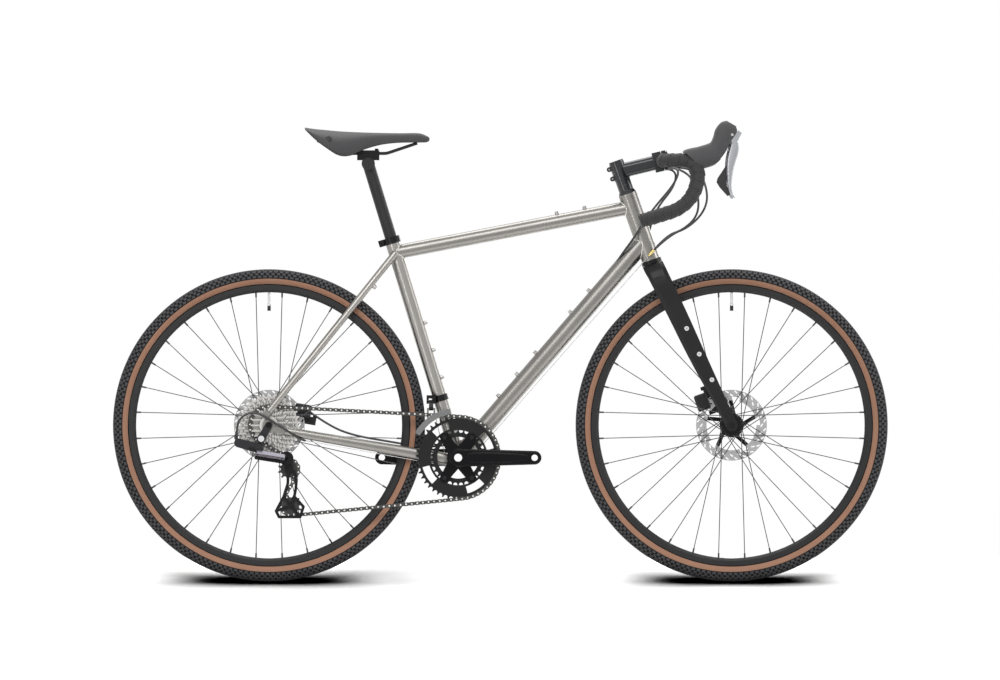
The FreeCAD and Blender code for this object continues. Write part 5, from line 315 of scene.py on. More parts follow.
ROTOR_TRACK_RADIUS = 0.0562
ROTOR_RINGS = 9000
ROTOR_BLACK = (0.012, 0.012, 0.013)
ROTOR_STEEL = (0.44, 0.44, 0.44)


def rotor_material(name, axle):
    """A steel track, ground in rings, with a black carrier inside it."""
    material, tree, shader = new_material(name)
    radius = side_distance(tree, axle)
    track = maths(tree, "GREATER_THAN", radius, ROTOR_TRACK_RADIUS)
    rings = maths(tree, "SINE", maths(tree, "MULTIPLY", radius, ROTOR_RINGS))
    give(tree, shader, {"Base Color": mixed(tree, track, ROTOR_BLACK, ROTOR_STEEL), "Metallic": 0.9,
                        "Roughness": ramp(tree, rings, 0.24, 0.34)})
    bump(tree, shader, rings, 0.2, 0.00003)
    return material


def dress(name, material):
    """Give a CAD node its material."""
    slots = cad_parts[name].data.materials
    for index in range(len(slots)):
        slots[index] = material
    if len(slots) == 0:
        slots.append(material)


for tube, start, end in (("head_tube", HEAD_BOTTOM, HEAD_TOP), ("top_tube", TOP_REAR, TOP_FRONT),
                         ("down_tube", CRANK_AXLE, DOWN_FRONT), ("chainstays", CRANK_AXLE, REAR_AXLE)):
    dress(tube, brushed("titanium_" + tube, end - start))
# These two catch more light in the photograph
# Painted light: these two get a lighter titanium colour than the other tubes
for tube, start, end in (("seat_tube", CRANK_AXLE, SEAT_TOP), ("seatstays", SEATSTAY_FOOT, SEATSTAY_TOP)):
    dress(tube, brushed("titanium_" + tube, end - start, (0.245, 0.235, 0.220), (0.305, 0.293, 0.276)))
LOOKS = {
    TITANIUM: ("bottom_bracket_shell", "dropouts"),
    BLACK_METAL: ("rear_axle", "frame_bearings", "seat_collar", "front_axle", "handlebar", "saddle_clamp",
                  "saddle_rails", "front_derailleur_clamp", "front_derailleur_link", "derailleur_inner_link",
                  "derailleur_cage_knuckle", "derailleur_cage", "front_hub", "rear_hub"),
    CRANK_BLACK: ("crank_right", "crank_left"),
    RING_BLACK: ("chainrings",),
    STEM_BLACK: ("headset_spacers", "stem", "stem_faceplate"),
    SATIN_BLACK: ("front_rim", "rear_rim", "front_caliper", "rear_caliper", "seatpost"),
    GLOSS_BLACK: ("fork",),
    HANGER_BLACK: ("derailleur_mount",),
    STEEL: ("frame_bolts", "stem_bolts"),
    DARK_STEEL: ("front_derailleur_cage",),
    CHAIN_STEEL: ("chain",),
    SPOKE_STEEL: ("front_spokes", "rear_spokes"),
    COG_STEEL: ("cassette",),
    LILAC: ("derailleur_outer_link",),
    LEVER_GREY: ("brake_lever_left", "brake_lever_right"),
    PLASTIC: ("shift_paddle_left", "shift_paddle_right", "guide_pulley", "tension_pulley"),
    RUBBER: ("front_inner_tube", "rear_inner_tube"),
}
for material, names in LOOKS.items():
    for name in names:
        dress(name, material)
dress("front_rotor", rotor_material("front_rotor_steel", FRONT_AXLE))
dress("rear_rotor", rotor_material("rear_rotor_steel", REAR_AXLE))


# Mesh helpers

MERGE = 0.00001


def make_object(name, vertices, faces, materials, indices=None, smooth=True):
    """A mesh object; indices are the faces' materials."""
    mesh = bpy.data.meshes.new(name)
    mesh.from_pydata(vertices, [], faces)
    for material in materials:
        mesh.materials.append(material)
    if indices:
        for face, index in zip(mesh.polygons, indices):
            face.material_index = index
    for face in mesh.polygons:
        face.use_smooth = smooth
    mesh.update()
    thing = bpy.data.objects.new(name, mesh)
    bpy.context.scene.collection.objects.link(thing)
    return thing


def turns(count):
    """The angles of equal steps round a circle."""
    return [2 * math.pi * step / count for step in range(count)]


def grid_faces(rows, columns, closed_rows=False, closed_columns=True):
    """Faces of a sheet of points, kept row by row."""
    faces = []
    for row in range(rows if closed_rows else rows - 1):
        after = (row + 1) % rows
        for column in range(columns if closed_columns else columns - 1):
            beside = (column + 1) % columns
            faces.append((row * columns + column, row * columns + beside,
                          after * columns + beside, after * columns + column))
    return faces


def tube_faces(rows, columns, first=0):
    """Faces of a row of rings that is closed at both ends, from a first point on."""
    faces = grid_faces(rows, columns)
    faces.append(tuple(reversed(range(columns))))
    faces.append(tuple(range((rows - 1) * columns, rows * columns)))
    return [tuple(first + index for index in face) for face in faces]


def clean(thing):
    """Join points that lie on each other, close open ends and turn every face outwards."""
    working = bmesh.new()
    working.from_mesh(thing.data)
    bmesh.ops.remove_doubles(working, verts=working.verts, dist=MERGE)
    bmesh.ops.dissolve_degenerate(working, edges=working.edges, dist=MERGE)
    bmesh.ops.holes_fill(working, edges=[edge for edge in working.edges if edge.is_boundary])
    working.to_mesh(thing.data)
    working.free()
    turn_out(thing)


def turn_out(thing):
    """Turn every face outwards."""
    working = bmesh.new()
    working.from_mesh(thing.data)
    bmesh.ops.recalc_face_normals(working, faces=working.faces)
    working.to_mesh(thing.data)
    working.free()


def mirror_mesh(name, source):
    """The other hand of a piece, across the plane of symmetry."""
    mesh = source.data.copy()
    mesh.name = name
    mesh.transform(Matrix.Scale(-1, 4, Y_AXIS))
    mesh.flip_normals()
    thing = bpy.data.objects.new(name, mesh)
    bpy.context.scene.collection.objects.link(thing)
    return thing


def turned_sleeve(name, start, heading, profile, material, columns=28):
    """A closed turned piece along a heading; the profile gives distance and radius in millimetres."""
    axis = heading.normalized()
    aside = axis.cross(Y_AXIS if abs(axis.y) < 0.9 else Z_AXIS).normalized()
    other = axis.cross(aside)
    vertices = []
    for distance, radius in profile:
        centre = start + axis * (distance * MM)
        for turn in turns(columns):
            vertices.append(centre + (aside * math.cos(turn) + other * math.sin(turn)) * (radius * MM))
    thing = make_object(name, vertices, tube_faces(len(profile), columns), [material])
    clean(thing)
    return thing


def rounder(value, power):
    """A sine or cosine raised to a power, which squares off a circle."""
    return math.copysign(abs(value) ** power, value)


def spread(rows, count):
    """Values between a table's rows, on a smooth line through them."""
    last = len(rows) - 1
    result = []
    for step in range(count):
        place = last * step / (count - 1)
        index = min(int(place), last - 1)
        share = place - index
        four = rows[max(0, index - 1)], rows[index], rows[index + 1], rows[min(last, index + 2)]
        result.append(tuple(
            0.5 * (2 * b + (c - a) * share + (2 * a - 5 * b + 4 * c - d) * share ** 2
                   + (3 * b - a - 3 * c + d) * share ** 3)
            for a, b, c, d in zip(*four)))
    return result


# Tyres: tan walls, black tread and rows of knobs

CASING = 0.0189
CASING_WALL = 0.0012
HALF_TYRE = 0.021
TYRE_RING = WHEEL_RADIUS - HALF_TYRE
CASING_COLUMNS = 240
# Degrees from the middle of the tread: the casing's edge, its steps, and where the tan wall starts and ends
CASING_EDGE = 140
CASING_STEP = 8
TAN_FROM = 90
TAN_TO = 135
KNOB_TOP = 0.0209
KNOB_SUNK = 0.0006
KNOB_TOP_SHARE = 0.78
KNOB_CORNERS = ((-1, -1), (1, -1), (1, 1), (-1, 1))
# Rows of knobs: degrees from the middle, count, half length, half width, shift along the row and skew
KNOB_ROWS = [
    (0, 348, 0.0020, 0.0028, 0.0, 0.0), (14, 348, 0.0021, 0.0024, 0.5, 0.25), (28, 348, 0.0021, 0.0024, 0.0, -0.3),
    (43, 174, 0.0045, 0.0027, 0.25, 0.25), (60, 174, 0.0040, 0.0030, 0.75, -0.2),
    (78, 174, 0.0046, 0.0028, 0.25, 0.0),
]


def on_tyre(axle, around, over, section):
    """A point by its turn round the wheel, its turn over the tyre and its distance from the tyre's middle."""
    radius = TYRE_RING + section * math.cos(over)
    return axle + Vector((radius * math.cos(around), section * math.sin(over), radius * math.sin(around)))


def tyre_materials():
    """The tan wall, the rubber between the knobs and the knobs."""
    tan, tree, shader = new_material("tan_wall")
    vector = coordinates(tree)
    threads = noise(tree, vector, 900, 2, 0.5)
    tone = mixed(tree, noise(tree, vector, 14), (0.330, 0.170, 0.107), (0.405, 0.218, 0.144))
    give(tree, shader, {"Base Color": tone, "Roughness": ramp(tree, threads, 0.55, 0.75), "Specular IOR Level": 0.3})
    bump(tree, shader, threads, 0.3, 0.00012)
    base = surface("tread_base", (0.006, 0.006, 0.007), (0.010, 0.010, 0.011), 0.0, (0.7, 0.9), 900, 0.00008,
                   specular=0.2)
    tread = surface("tread_rubber", (0.044, 0.044, 0.047), (0.074, 0.074, 0.078), 0.0, (0.6, 0.82), 900, 0.00012,
                    specular=0.35)
    return tan, base, tread


def knob(axle, around, over, half_around, half_over, lean):
    """The eight corners of a knob that narrows towards its top."""
    corners = []
    for section, share in ((CASING - KNOB_SUNK, 1.0), (KNOB_TOP, KNOB_TOP_SHARE)):
        for a, b in KNOB_CORNERS:
            corners.append(on_tyre(axle, around + (a * half_around + lean * b) * share,
                                   over + b * half_over * share, section))
    return corners


def build_tyre(prefix, axle, materials):
    steps = range(-CASING_EDGE, CASING_EDGE + 1, CASING_STEP)
    profile = [(step, CASING) for step in steps] + [(step, CASING - CASING_WALL) for step in reversed(steps)]
    vertices = []
    indices = []
    for row, (degrees, section) in enumerate(profile):
        for around in turns(CASING_COLUMNS):
            vertices.append(on_tyre(axle, around, math.radians(degrees), section))
        middle = abs(degrees + profile[(row + 1) % len(profile)][0]) / 2
        indices.extend([1 if middle < TAN_FROM or middle > TAN_TO else 0] * CASING_COLUMNS)
    faces = grid_faces(len(profile), CASING_COLUMNS, closed_rows=True)
    casing_faces = len(faces)
    for degrees, knobs, half_length, half_width, shift, skew in KNOB_ROWS:
        for side in ((1,) if degrees == 0 else (1, -1)):
            over = math.radians(degrees) * side
            half_around = half_length / (TYRE_RING + CASING * math.cos(over))
            for index in range(knobs):
                around = 2 * math.pi * (index + shift) / knobs
                made = tube_faces(2, len(KNOB_CORNERS), len(vertices))
                vertices.extend(knob(axle, around, over, half_around, half_width / CASING, skew * half_around * side))
                faces.extend(made)
                indices.extend([2] * len(made))
    tyre = make_object(prefix + "_tyre_skin", vertices, faces, materials, indices, smooth=False)
    for face in tyre.data.polygons[:casing_faces]:
        face.use_smooth = True
    turn_out(tyre)
    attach(tyre, prefix + "_wheel")
    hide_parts(prefix + "_tyre")


TYRE_LOOKS = tyre_materials()
build_tyre("front", FRONT_AXLE, TYRE_LOOKS)
build_tyre("rear", REAR_AXLE, TYRE_LOOKS)


# Cables and hoses: a smooth line through each route's control points, in millimetres

HOUSING_DIAMETER = 5
WIRE_DIAMETER = 1.6
REAR_HOSE = [(373.9, -85, 930.9), (404, -50, 936), (397, -36, 902), (349, -34, 846), (324.9, -33, 812.4),
             (298.9, -29, 771.4), (273.9, -8, 738.4), (232, 4, 676)]
RIGHT_HOUSING = [(382.8, -75, 939.6), (386.9, -40, 937.4), (433.9, -22, 914.4), (448.9, -4, 862.4), (443.9, 10, 822.4),
                 (411.9, 22, 793.4), (375.9, 27, 781.4), (346.9, 27, 748.4)]
LEFT_HOUSING = [(382.8, 75, 939.6), (386.9, 40, 937.4), (451.9, 22, 926.4), (469.9, 4, 872.4), (458.9, -12, 832.4),
                (423.9, -22, 798.4), (382.9, -27, 782.4), (346.9, -27, 748.4)]
FRONT_HOSE = [(373.9, 85, 930.9), (397.9, 46, 930.4), (393.9, 36, 892.4), (355.9, 36, 846.4), (336.9, 39, 800.4),
              (333.9, 42, 755.4), (340.9, 50, 712.4), (356.9, 56, 680.4), (377.9, 48, 648.4)]
STAY_HOSE = [(-38, 6, 344), (-72, 30, 318), (-160, 31, 300.5), (-250, 41.5, 315.5), (-330, 54, 329), (-385, 62, 350),
             (-430, 64, 382)]
REAR_LOOP = [(-440, -70, 318), (-456, -80, 323), (-480, -88, 341), (-518, -88.5, 364), (-545, -89, 381),
             (-574, -90, 380), (-595, -91, 357), (-595.5, -92, 316.5)]
LEFT_WIRE = [(346.9, 27, 748.4), (16.6, 6, 371.6), (-86.9, 6, 255.3), (-122, 2, 253), (-149, -14, 386)]
RIGHT_WIRE = [(346.9, -27, 748.4), (16.6, -6, 371.6), (-86.9, -6, 255.3), (-190, -34.5, 273.2), (-439.5, -70, 318)]
ADJUSTER_UP = 0.005


def smooth_tube(name, points, diameter, material):
    """A closed tube mesh round a NURBS line."""
    curve = bpy.data.curves.new(name, "CURVE")
    curve.dimensions = "3D"
    spline = curve.splines.new("NURBS")
    spline.points.add(len(points) - 1)
    for target, place in zip(spline.points, points):
        target.co = (*(Vector(place) * MM), 1)
    spline.order_u = 3
    spline.use_endpoint_u = True
    spline.resolution_u = 10
    curve.bevel_depth = diameter * MM / 2
    curve.bevel_resolution = 4
    curve.use_fill_caps = True
    line = bpy.data.objects.new(name, curve)
    mesh = bpy.data.meshes.new_from_object(line)
    bpy.data.objects.remove(line)
    bpy.data.curves.remove(curve)
    mesh.materials.clear()
    mesh.materials.append(material)
    for face in mesh.polygons:
        face.use_smooth = True
    tube = bpy.data.objects.new(name, mesh)
    bpy.context.scene.collection.objects.link(tube)
    clean(tube)
    return tube


def ribbed(head, crest, groove, pitch, count, tail):
    """A turned profile with equal ribs; crest and groove are the first rib's."""
    profile = list(head)
    for step in range(count):
        for distance, radius in (crest, groove):
            profile.append((distance + step * pitch, radius))
    return profile + tail


FERRULE = ribbed([(0, 2.6), (0, 4.4)], (0.6, 4.6), (1.4, 4.1), 1.4, 6, [(9.4, 3.8), (11.5, 3.2), (12, 2.6)])
BARREL = ribbed([(0.4, 2.6), (0.4, 3.4), (1.5, 4.0)], (2.5, 4.0), (3.1, 3.6), 1.2, 9,
                [(13.6, 4.0), (14.4, 3.2), (17.4, 2.9), (18.4, 2.2)])


def build_cables():
    for name, points in (("rear_hose", REAR_HOSE), ("right_housing", RIGHT_HOUSING), ("left_housing", LEFT_HOUSING)):
        piece = smooth_tube(name, points, HOUSING_DIAMETER, CABLE_LOOK)
        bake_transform(piece)
    hose = smooth_tube("front_hose", FRONT_HOSE, HOUSING_DIAMETER, CABLE_LOOK)
    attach(hose, "steering")
    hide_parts("control_cables")
    on_frame = [smooth_tube("stay_hose", STAY_HOSE, HOUSING_DIAMETER, CABLE_LOOK),
                smooth_tube("rear_shift_housing", REAR_LOOP, HOUSING_DIAMETER, CABLE_LOOK)]
    for piece in on_frame:
        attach(piece, "frame")
    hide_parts("frame_cables")
    foot = Vector(REAR_LOOP[-1]) * MM + Z_AXIS * ADJUSTER_UP
    adjuster = turned_sleeve("derailleur_adjuster", foot, Z_AXIS, FERRULE, PLASTIC)
    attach(adjuster, "frame")
    for name, points in (("left_wire", LEFT_WIRE), ("right_wire", RIGHT_WIRE)):
        wire = smooth_tube(name, points, WIRE_DIAMETER, WIRE_LOOK)
        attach(wire, "frame")
        heading = Vector(points[1]) - Vector(points[0])
        barrel = turned_sleeve(name + "_adjuster", Vector(points[0]) * MM, heading, BARREL, GOLD)
        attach(barrel, "frame")


build_cables()


# Handlebar tape, wound in overlapping turns along the bar

BAR_HALF_WIDTH = 0.212
BAR_BEND = BAR_CENTRE + Y_AXIS * BAR_HALF_WIDTH
BAR_FRONT = BAR_BEND + Vector((0.079, 0, 0.001))
BAR_HOOK = BAR_BEND + Vector((0.079, 0.01726, -0.09687))
BAR_END = BAR_BEND + Vector((-0.049, 0.02416, -0.136))
BEND_RADIUS = 0.042
FRONT_RADIUS = 0.034
HOOK_RADIUS = 0.088
BEND_STEPS = 28
TAPE_START = 0.050
TAPE_PITCH = 0.019
TAPE_RADIUS = 0.01475
TAPE_STEP = 0.00125
TAPE_COLUMNS = 40
# Across one turn of the tape: the share of the pitch and of the step that one turn makes over the next
TAPE_PROFILE_SHARES = [(0.0, 1.0), (0.02, 0.35), (0.05, 0.0), (0.12, 0.02), (0.3, 0.22), (0.5, 0.45), (0.7, 0.7),
                       (0.86, 0.95), (0.94, 1.08), (0.98, 1.1)]
TAPE_END_SHARE = 0.5
# Turned profiles: distance and radius in millimetres
BAND_PROFILE = [(-4, 12.2), (-4, 15.2), (-3.2, 15.9), (12, 16.0), (13.5, 15.8), (13.5, 14.6)]
PLUG_PROFILE = [(-6, 13.0), (-0.4, 13.0), (-0.4, 15.4), (0.6, 16.0), (2.4, 15.7), (3.6, 14.4), (4.4, 11.8), (4.8, 7.0),
                (4.9, 2.0)]
BAR_COLUMNS = 48


def arc_run(before, corner, after, radius, steps):
    """Points of a corner rounded to a radius."""
    into = (corner - before).normalized()
    out = (after - corner).normalized()
    bend = into.angle(out)
    reach = radius * math.tan(bend / 2)
    first = corner - into * reach
    middle = first + (out - into * into.dot(out)).normalized() * radius
    axis = into.cross(out).normalized()
    points = []
    for step in range(steps + 1):
        points.append(middle + Matrix.Rotation(bend * step / steps, 3, axis) @ (first - middle))
    return points


def bar_line():
    """The left half of the bar's middle line, from the tape's start to its end."""
    start = BAR_CENTRE + Y_AXIS * TAPE_START
    corners = [start, BAR_BEND, BAR_FRONT, BAR_HOOK, BAR_END]
    points = [start]
    for index, radius in ((1, BEND_RADIUS), (2, FRONT_RADIUS), (3, HOOK_RADIUS)):
        points.extend(arc_run(corners[index - 1], corners[index], corners[index + 1], radius, BEND_STEPS))
    points.append(BAR_END)
    return points


class Path:
    """A line that is read by distance, with a frame that turns as little as it can."""

    def __init__(self, points):
        self.points = points
        self.reach = [0.0]
        for before, after in zip(points, points[1:]):
            self.reach.append(self.reach[-1] + (after - before).length)
        self.headings = []
        for index in range(len(points)):
            low = max(0, index - 1)
            high = min(len(points) - 1, index + 1)
            self.headings.append((points[high] - points[low]).normalized())
        aside = self.headings[0].cross(Z_AXIS).normalized()
        self.asides = []
        for heading in self.headings:
            aside = (aside - heading * aside.dot(heading)).normalized()
            self.asides.append(aside.copy())
        self.length = self.reach[-1]

    def at(self, distance):
        """The place at a distance along the line, and two directions across it."""
        distance = min(max(distance, 0.0), self.length)
        index = 0
        while index < len(self.reach) - 2 and self.reach[index + 1] < distance:
            index += 1
        share = (distance - self.reach[index]) / (self.reach[index + 1] - self.reach[index])
        place = self.points[index].lerp(self.points[index + 1], share)
        heading = self.headings[index].lerp(self.headings[index + 1], share).normalized()
        aside = self.asides[index].lerp(self.asides[index + 1], share)
        aside = (aside - heading * aside.dot(heading)).normalized()
        return place, aside, heading.cross(aside)


def tape_sheet():
    """Points and faces of a strip that winds round the left half of the bar, each turn joined to the next."""
    path = Path(bar_line())
    columns = TAPE_COLUMNS
    per_turn = len(TAPE_PROFILE_SHARES)
    rows = (int(path.length / TAPE_PITCH) + 2) * per_turn
    vertices = []
    for row in range(rows):
        share, rise = TAPE_PROFILE_SHARES[row % per_turn]
        start = (row // per_turn - 1 + share) * TAPE_PITCH
        for column, turn in enumerate(turns(columns)):
            distance = start + TAPE_PITCH * column / columns
            place, aside, other = path.at(distance)
            inside = 0 < distance < path.length
            radius = TAPE_RADIUS + TAPE_STEP * (rise if inside else TAPE_END_SHARE)
            vertices.append(place + (aside * math.cos(turn) + other * math.sin(turn)) * radius)
    faces = []
    for row in range(rows - 1):
        for column in range(columns):
            here = row * columns + column
            if column + 1 < columns:
                faces.append((here, here + 1, here + columns + 1, here + columns))
            elif row + 1 + per_turn < rows:
                beside = (row + per_turn) * columns
                faces.append((here, beside, beside + columns, here + columns))
    return vertices, faces


def build_tape():
    tape = make_object("tape_left", *tape_sheet(), [TAPE_LOOK])
    clean(tape)
    band = turned_sleeve("tape_band_left", BAR_CENTRE + Y_AXIS * TAPE_START, Y_AXIS, BAND_PROFILE, PLASTIC, BAR_COLUMNS)
    plug = turned_sleeve("bar_plug_left", BAR_END, BAR_END - BAR_HOOK, PLUG_PROFILE, PLASTIC, BAR_COLUMNS)
    pieces = [tape, band, plug]
    for piece in list(pieces):
        pieces.append(mirror_mesh(piece.name.replace("_left", "_right"), piece))
    for piece in pieces:
        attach(piece, "steering")
    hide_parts("bar_tape")


build_tape()


# Lever hoods

HOOD_LENGTH = 0.154
HOOD_HEIGHT = 0.108
HOOD_HALF_WIDTH = 0.017
HOOD_POWER = 0.8
HOOD_ROWS = 60
HOOD_COLUMNS = 44
# From the back: shares ahead and above the bar's bend, the lean of the section, its half height and its half width
HOOD_SHARES = [
    (0.425, 0.022, 136, 0.262, 0.99), (0.48, 0.045, 126, 0.248, 1.01), (0.54, 0.062, 118, 0.236, 1.01),
    (0.605, 0.086, 112, 0.230, 1.0), (0.737, 0.159, 106, 0.228, 1.0), (0.825, 0.326, 118, 0.224, 1.0),
    (0.891, 0.535, 139, 0.207, 0.97), (0.967, 0.692, 150, 0.2, 0.84), (1.0, 0.765, 150, 0.125, 0.5),
]
LEVER_PIVOT = BAR_CENTRE + Vector((0.155, BAR_HALF_WIDTH, 0.0575))
LEVER_LENGTH = 0.143
# The lever's slot, in shares of the lever's length ahead of and above its pivot, and half the slot's width
SLOT_SHARES = [(0.18, 0.17), (0.18, -0.38), (-0.26, -0.38), (-0.19, -0.23), (-0.08, -0.02), (0.0, 0.1)]
SLOT_HALF_WIDTH = 0.0075
# The space that the lever's ears, which hold the paddle's pin, move in: its sides, measured from the lever's pivot
EAR_BACK = -0.0154
EAR_FRONT = 0.0084
EAR_BOTTOM = -0.0379
EAR_TOP = -0.0239
EAR_DEPTH = 0.0159
PIN_OUT = 0.0142
PIN_COLUMNS = 24
PIN_PROFILE = [(-0.6, 3.2), (0.0, 3.2), (0.5, 2.8), (0.5, 1.4), (-0.2, 1.2)]


def cut_away(thing, outline, y_from, y_to):
    """Take a plate, from an outline beside the lever's plane, away from a piece."""
    corners = [point + Y_AXIS * y for y in (y_from, y_to) for point in outline]
    cutter = make_object("cutter", corners, tube_faces(2, len(outline)), [PLASTIC], smooth=False)
    clean(cutter)
    modifier = thing.modifiers.new("cut", "BOOLEAN")
    modifier.operation = "DIFFERENCE"
    modifier.solver = "EXACT"
    modifier.object = cutter
    evaluated = thing.evaluated_get(bpy.context.evaluated_depsgraph_get())
    mesh = bpy.data.meshes.new_from_object(evaluated)
    thing.modifiers.clear()
    thing.data = mesh
    bpy.data.objects.remove(cutter)


def build_hoods():
    vertices = []
    for ahead, above, lean, height, width in spread(HOOD_SHARES, HOOD_ROWS):
        centre = BAR_BEND + Vector((ahead * HOOD_LENGTH, 0, above * HOOD_HEIGHT))
        along = ray(lean) * (height * HOOD_HEIGHT)
        aside = Y_AXIS * (width * HOOD_HALF_WIDTH)
        for turn in turns(HOOD_COLUMNS):
            vertices.append(centre + along * rounder(math.cos(turn), HOOD_POWER)
                            + aside * rounder(math.sin(turn), HOOD_POWER))
    hood = make_object("hood_left", vertices, tube_faces(HOOD_ROWS, HOOD_COLUMNS), [HOOD_LOOK, PLASTIC])
    clean(hood)
    slot = [LEVER_PIVOT + Vector((x * LEVER_LENGTH, 0, z * LEVER_LENGTH)) for x, z in SLOT_SHARES]
    cut_away(hood, slot, -SLOT_HALF_WIDTH, SLOT_HALF_WIDTH)
    ear = [LEVER_PIVOT + Vector((x, 0, z)) for x, z in ((EAR_BACK, EAR_BOTTOM), (EAR_FRONT, EAR_BOTTOM),
                                                        (EAR_FRONT, EAR_TOP), (EAR_BACK, EAR_TOP))]
    cut_away(hood, ear, -EAR_DEPTH, 0.0)
    pieces = [hood]
    for side, place in ((1, "out"), (-1, "in")):
        pieces.append(turned_sleeve("hood_pin_left_" + place, LEVER_PIVOT + Y_AXIS * (side * PIN_OUT), Y_AXIS * side,
                                    PIN_PROFILE, STEEL, PIN_COLUMNS))
    for piece in list(pieces):
        pieces.append(mirror_mesh(piece.name.replace("_left", "_right"), piece))
    for piece in pieces:
        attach(piece, "steering")
    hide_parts("lever_hoods")


build_hoods()


# Saddle: a moulded cover over a shell, open underneath, with a rivet on each side

SADDLE_BACK = -0.4409
SADDLE_LENGTH = 0.281
SADDLE_TOP = 1.0246
SADDLE_HEIGHT = 0.064
SADDLE_HALF_WIDTH = 0.078
SADDLE_LEAST = 0.0005
SADDLE_SKIN = 0.0035
SADDLE_POWER = 0.75
SADDLE_ROWS = 90
SADDLE_COLUMNS = 49
# From the back: shares of the length, of the drop to the top and to the lower edge, and of the width
SADDLE_SHARES = [
    (0.0, 0.0, 0.08, 0.7), (0.075, 0.05, 0.4, 0.94), (0.17, 0.09, 0.72, 1.0), (0.27, 0.13, 0.98, 0.94),
    (0.365, 0.155, 0.985, 0.74), (0.48, 0.175, 0.77, 0.49), (0.61, 0.19, 0.61, 0.32), (0.75, 0.2, 0.54, 0.26),
    (0.91, 0.2, 0.53, 0.22), (0.975, 0.29, 0.52, 0.16), (1.0, 0.36, 0.46, 0.07),
]
RIVET_BACK = -0.3868
RIVET_ASIDE = 0.0728
RIVET_UP = 0.9988
RIVET_PROFILE = [(-3, 6.4), (0.2, 6.8), (0.9, 6.2), (1.2, 4.4), (0.6, 3.6), (0.5, 1.0)]


def saddle_layer(inset):
    """Points of the cover's arched sheet, drawn in by an inset."""
    layer = []
    for share, top_share, bottom_share, width_share in spread(SADDLE_SHARES, SADDLE_ROWS):
        x = SADDLE_BACK + SADDLE_LENGTH * share
        top = SADDLE_TOP - SADDLE_HEIGHT * max(top_share, 0.0) - inset
        bottom = min(SADDLE_TOP - SADDLE_HEIGHT * bottom_share, top)
        half = max(SADDLE_HALF_WIDTH * width_share - inset, SADDLE_LEAST)
        for column in range(SADDLE_COLUMNS):
            turn = math.pi * column / (SADDLE_COLUMNS - 1)
            aside = rounder(math.cos(turn), SADDLE_POWER) * half
            layer.append(Vector((x, aside, bottom + (top - bottom) * abs(math.sin(turn)) ** SADDLE_POWER)))
    return layer


def build_saddle():
    outer = saddle_layer(0.0)
    count = len(outer)
    sheet = grid_faces(SADDLE_ROWS, SADDLE_COLUMNS, closed_columns=False)
    faces = [tuple(reversed(face)) for face in sheet]
    faces.extend(tuple(index + count for index in face) for face in sheet)
    edges = []
    for row in range(SADDLE_ROWS - 1):
        for column in (0, SADDLE_COLUMNS - 1):
            edges.append((row * SADDLE_COLUMNS + column, (row + 1) * SADDLE_COLUMNS + column))
    for row in (0, SADDLE_ROWS - 1):
        for column in range(SADDLE_COLUMNS - 1):
            edges.append((row * SADDLE_COLUMNS + column, row * SADDLE_COLUMNS + column + 1))
    faces.extend((first, second, count + second, count + first) for first, second in edges)
    cover = make_object("saddle_skin", outer + saddle_layer(SADDLE_SKIN), faces, [SADDLE_LOOK])
    clean(cover)
    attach(cover, "saddle")
    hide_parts("saddle_cover")
    for side, name in ((1, "left"), (-1, "right")):
        rivet = turned_sleeve("saddle_rivet_" + name, Vector((RIVET_BACK, side * RIVET_ASIDE, RIVET_UP)),
                              Vector((-0.15, side, 0.3)), RIVET_PROFILE, PLASTIC)
        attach(rivet, "saddle")


build_saddle()


# Pin heads of the chain, on both faces of each link

LINK_PITCH = 0.0127
PIN_SIDES = 10
# Rings of a pin's head: how far out of the link's face, and radius
PIN_RINGS = ((-0.0012, 0.0021), (0.0002, 0.0021), (0.0005, 0.0014))


def islands(mesh):
    """The separate pieces of a mesh, each as a list of its points."""
    owner = list(range(len(mesh.vertices)))

    def root(index):
        while owner[index] != index:
            owner[index] = owner[owner[index]]
            index = owner[index]
        return index

    for edge in mesh.edges:
        first, second = (root(index) for index in edge.vertices)
        owner[first] = second
    groups = {}
    for vertex in mesh.vertices:
        groups.setdefault(root(vertex.index), []).append(vertex.co)
    return list(groups.values())


def from_side(point):
    """A point or step as it is seen from the side."""
    return Vector((point.x, 0, point.z))


def chain_pins():
    """Where the chain's pins are, from the ends of its links, and how far out its two faces are."""
    places = []
    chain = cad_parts["chain"]
    low = min(vertex.co.y for vertex in chain.data.vertices)
    high = max(vertex.co.y for vertex in chain.data.vertices)
    for points in islands(chain.data):
        middle = sum(points, Vector()) / len(points)
        reach = max((from_side(point - middle) for point in points), key=lambda step: step.length)
        if reach.length > LINK_PITCH / 2:
            along = reach.normalized() * (LINK_PITCH / 2)
            for place in (middle + along, middle - along):
                if all(from_side(place - other).length > LINK_PITCH / 3 for other in places):
                    places.append(place)
    return places, low, high


def build_chain_pins():
    places, low, high = chain_pins()
    vertices = []
    faces = []
    for place in places:
        for face_y, out in ((low, -1), (high, 1)):
            faces.extend(tube_faces(len(PIN_RINGS), PIN_SIDES, len(vertices)))
            for depth, radius in PIN_RINGS:
                for turn in turns(PIN_SIDES):
                    vertices.append(Vector((place.x + radius * math.cos(turn), face_y + out * depth,
                                            place.z + radius * math.sin(turn))))
    pins = make_object("chain_pins", vertices, faces, [SILVER])
    turn_out(pins)
    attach(pins, "frame")


build_chain_pins()


# Crowned faces of the crank arms, between the spindle and the pedal's eye

CRANK_FACE = 0.0755
CROWN_FROM = 0.019
CROWN_TO = 0.158
CROWN_RISE = 0.0026
CROWN_SUNK = 0.001
CROWN_ROOT = 0.0165
CROWN_END = 0.0105
CROWN_ROWS = 60
CROWN_COLUMNS = 32
# How sharply the crown swells at its ends, narrows along the arm and rounds off across it
SWELL_POWER = 0.4
SWELL_LEAST = 0.02
NARROW_POWER = 0.7
ACROSS_POWER = 0.8


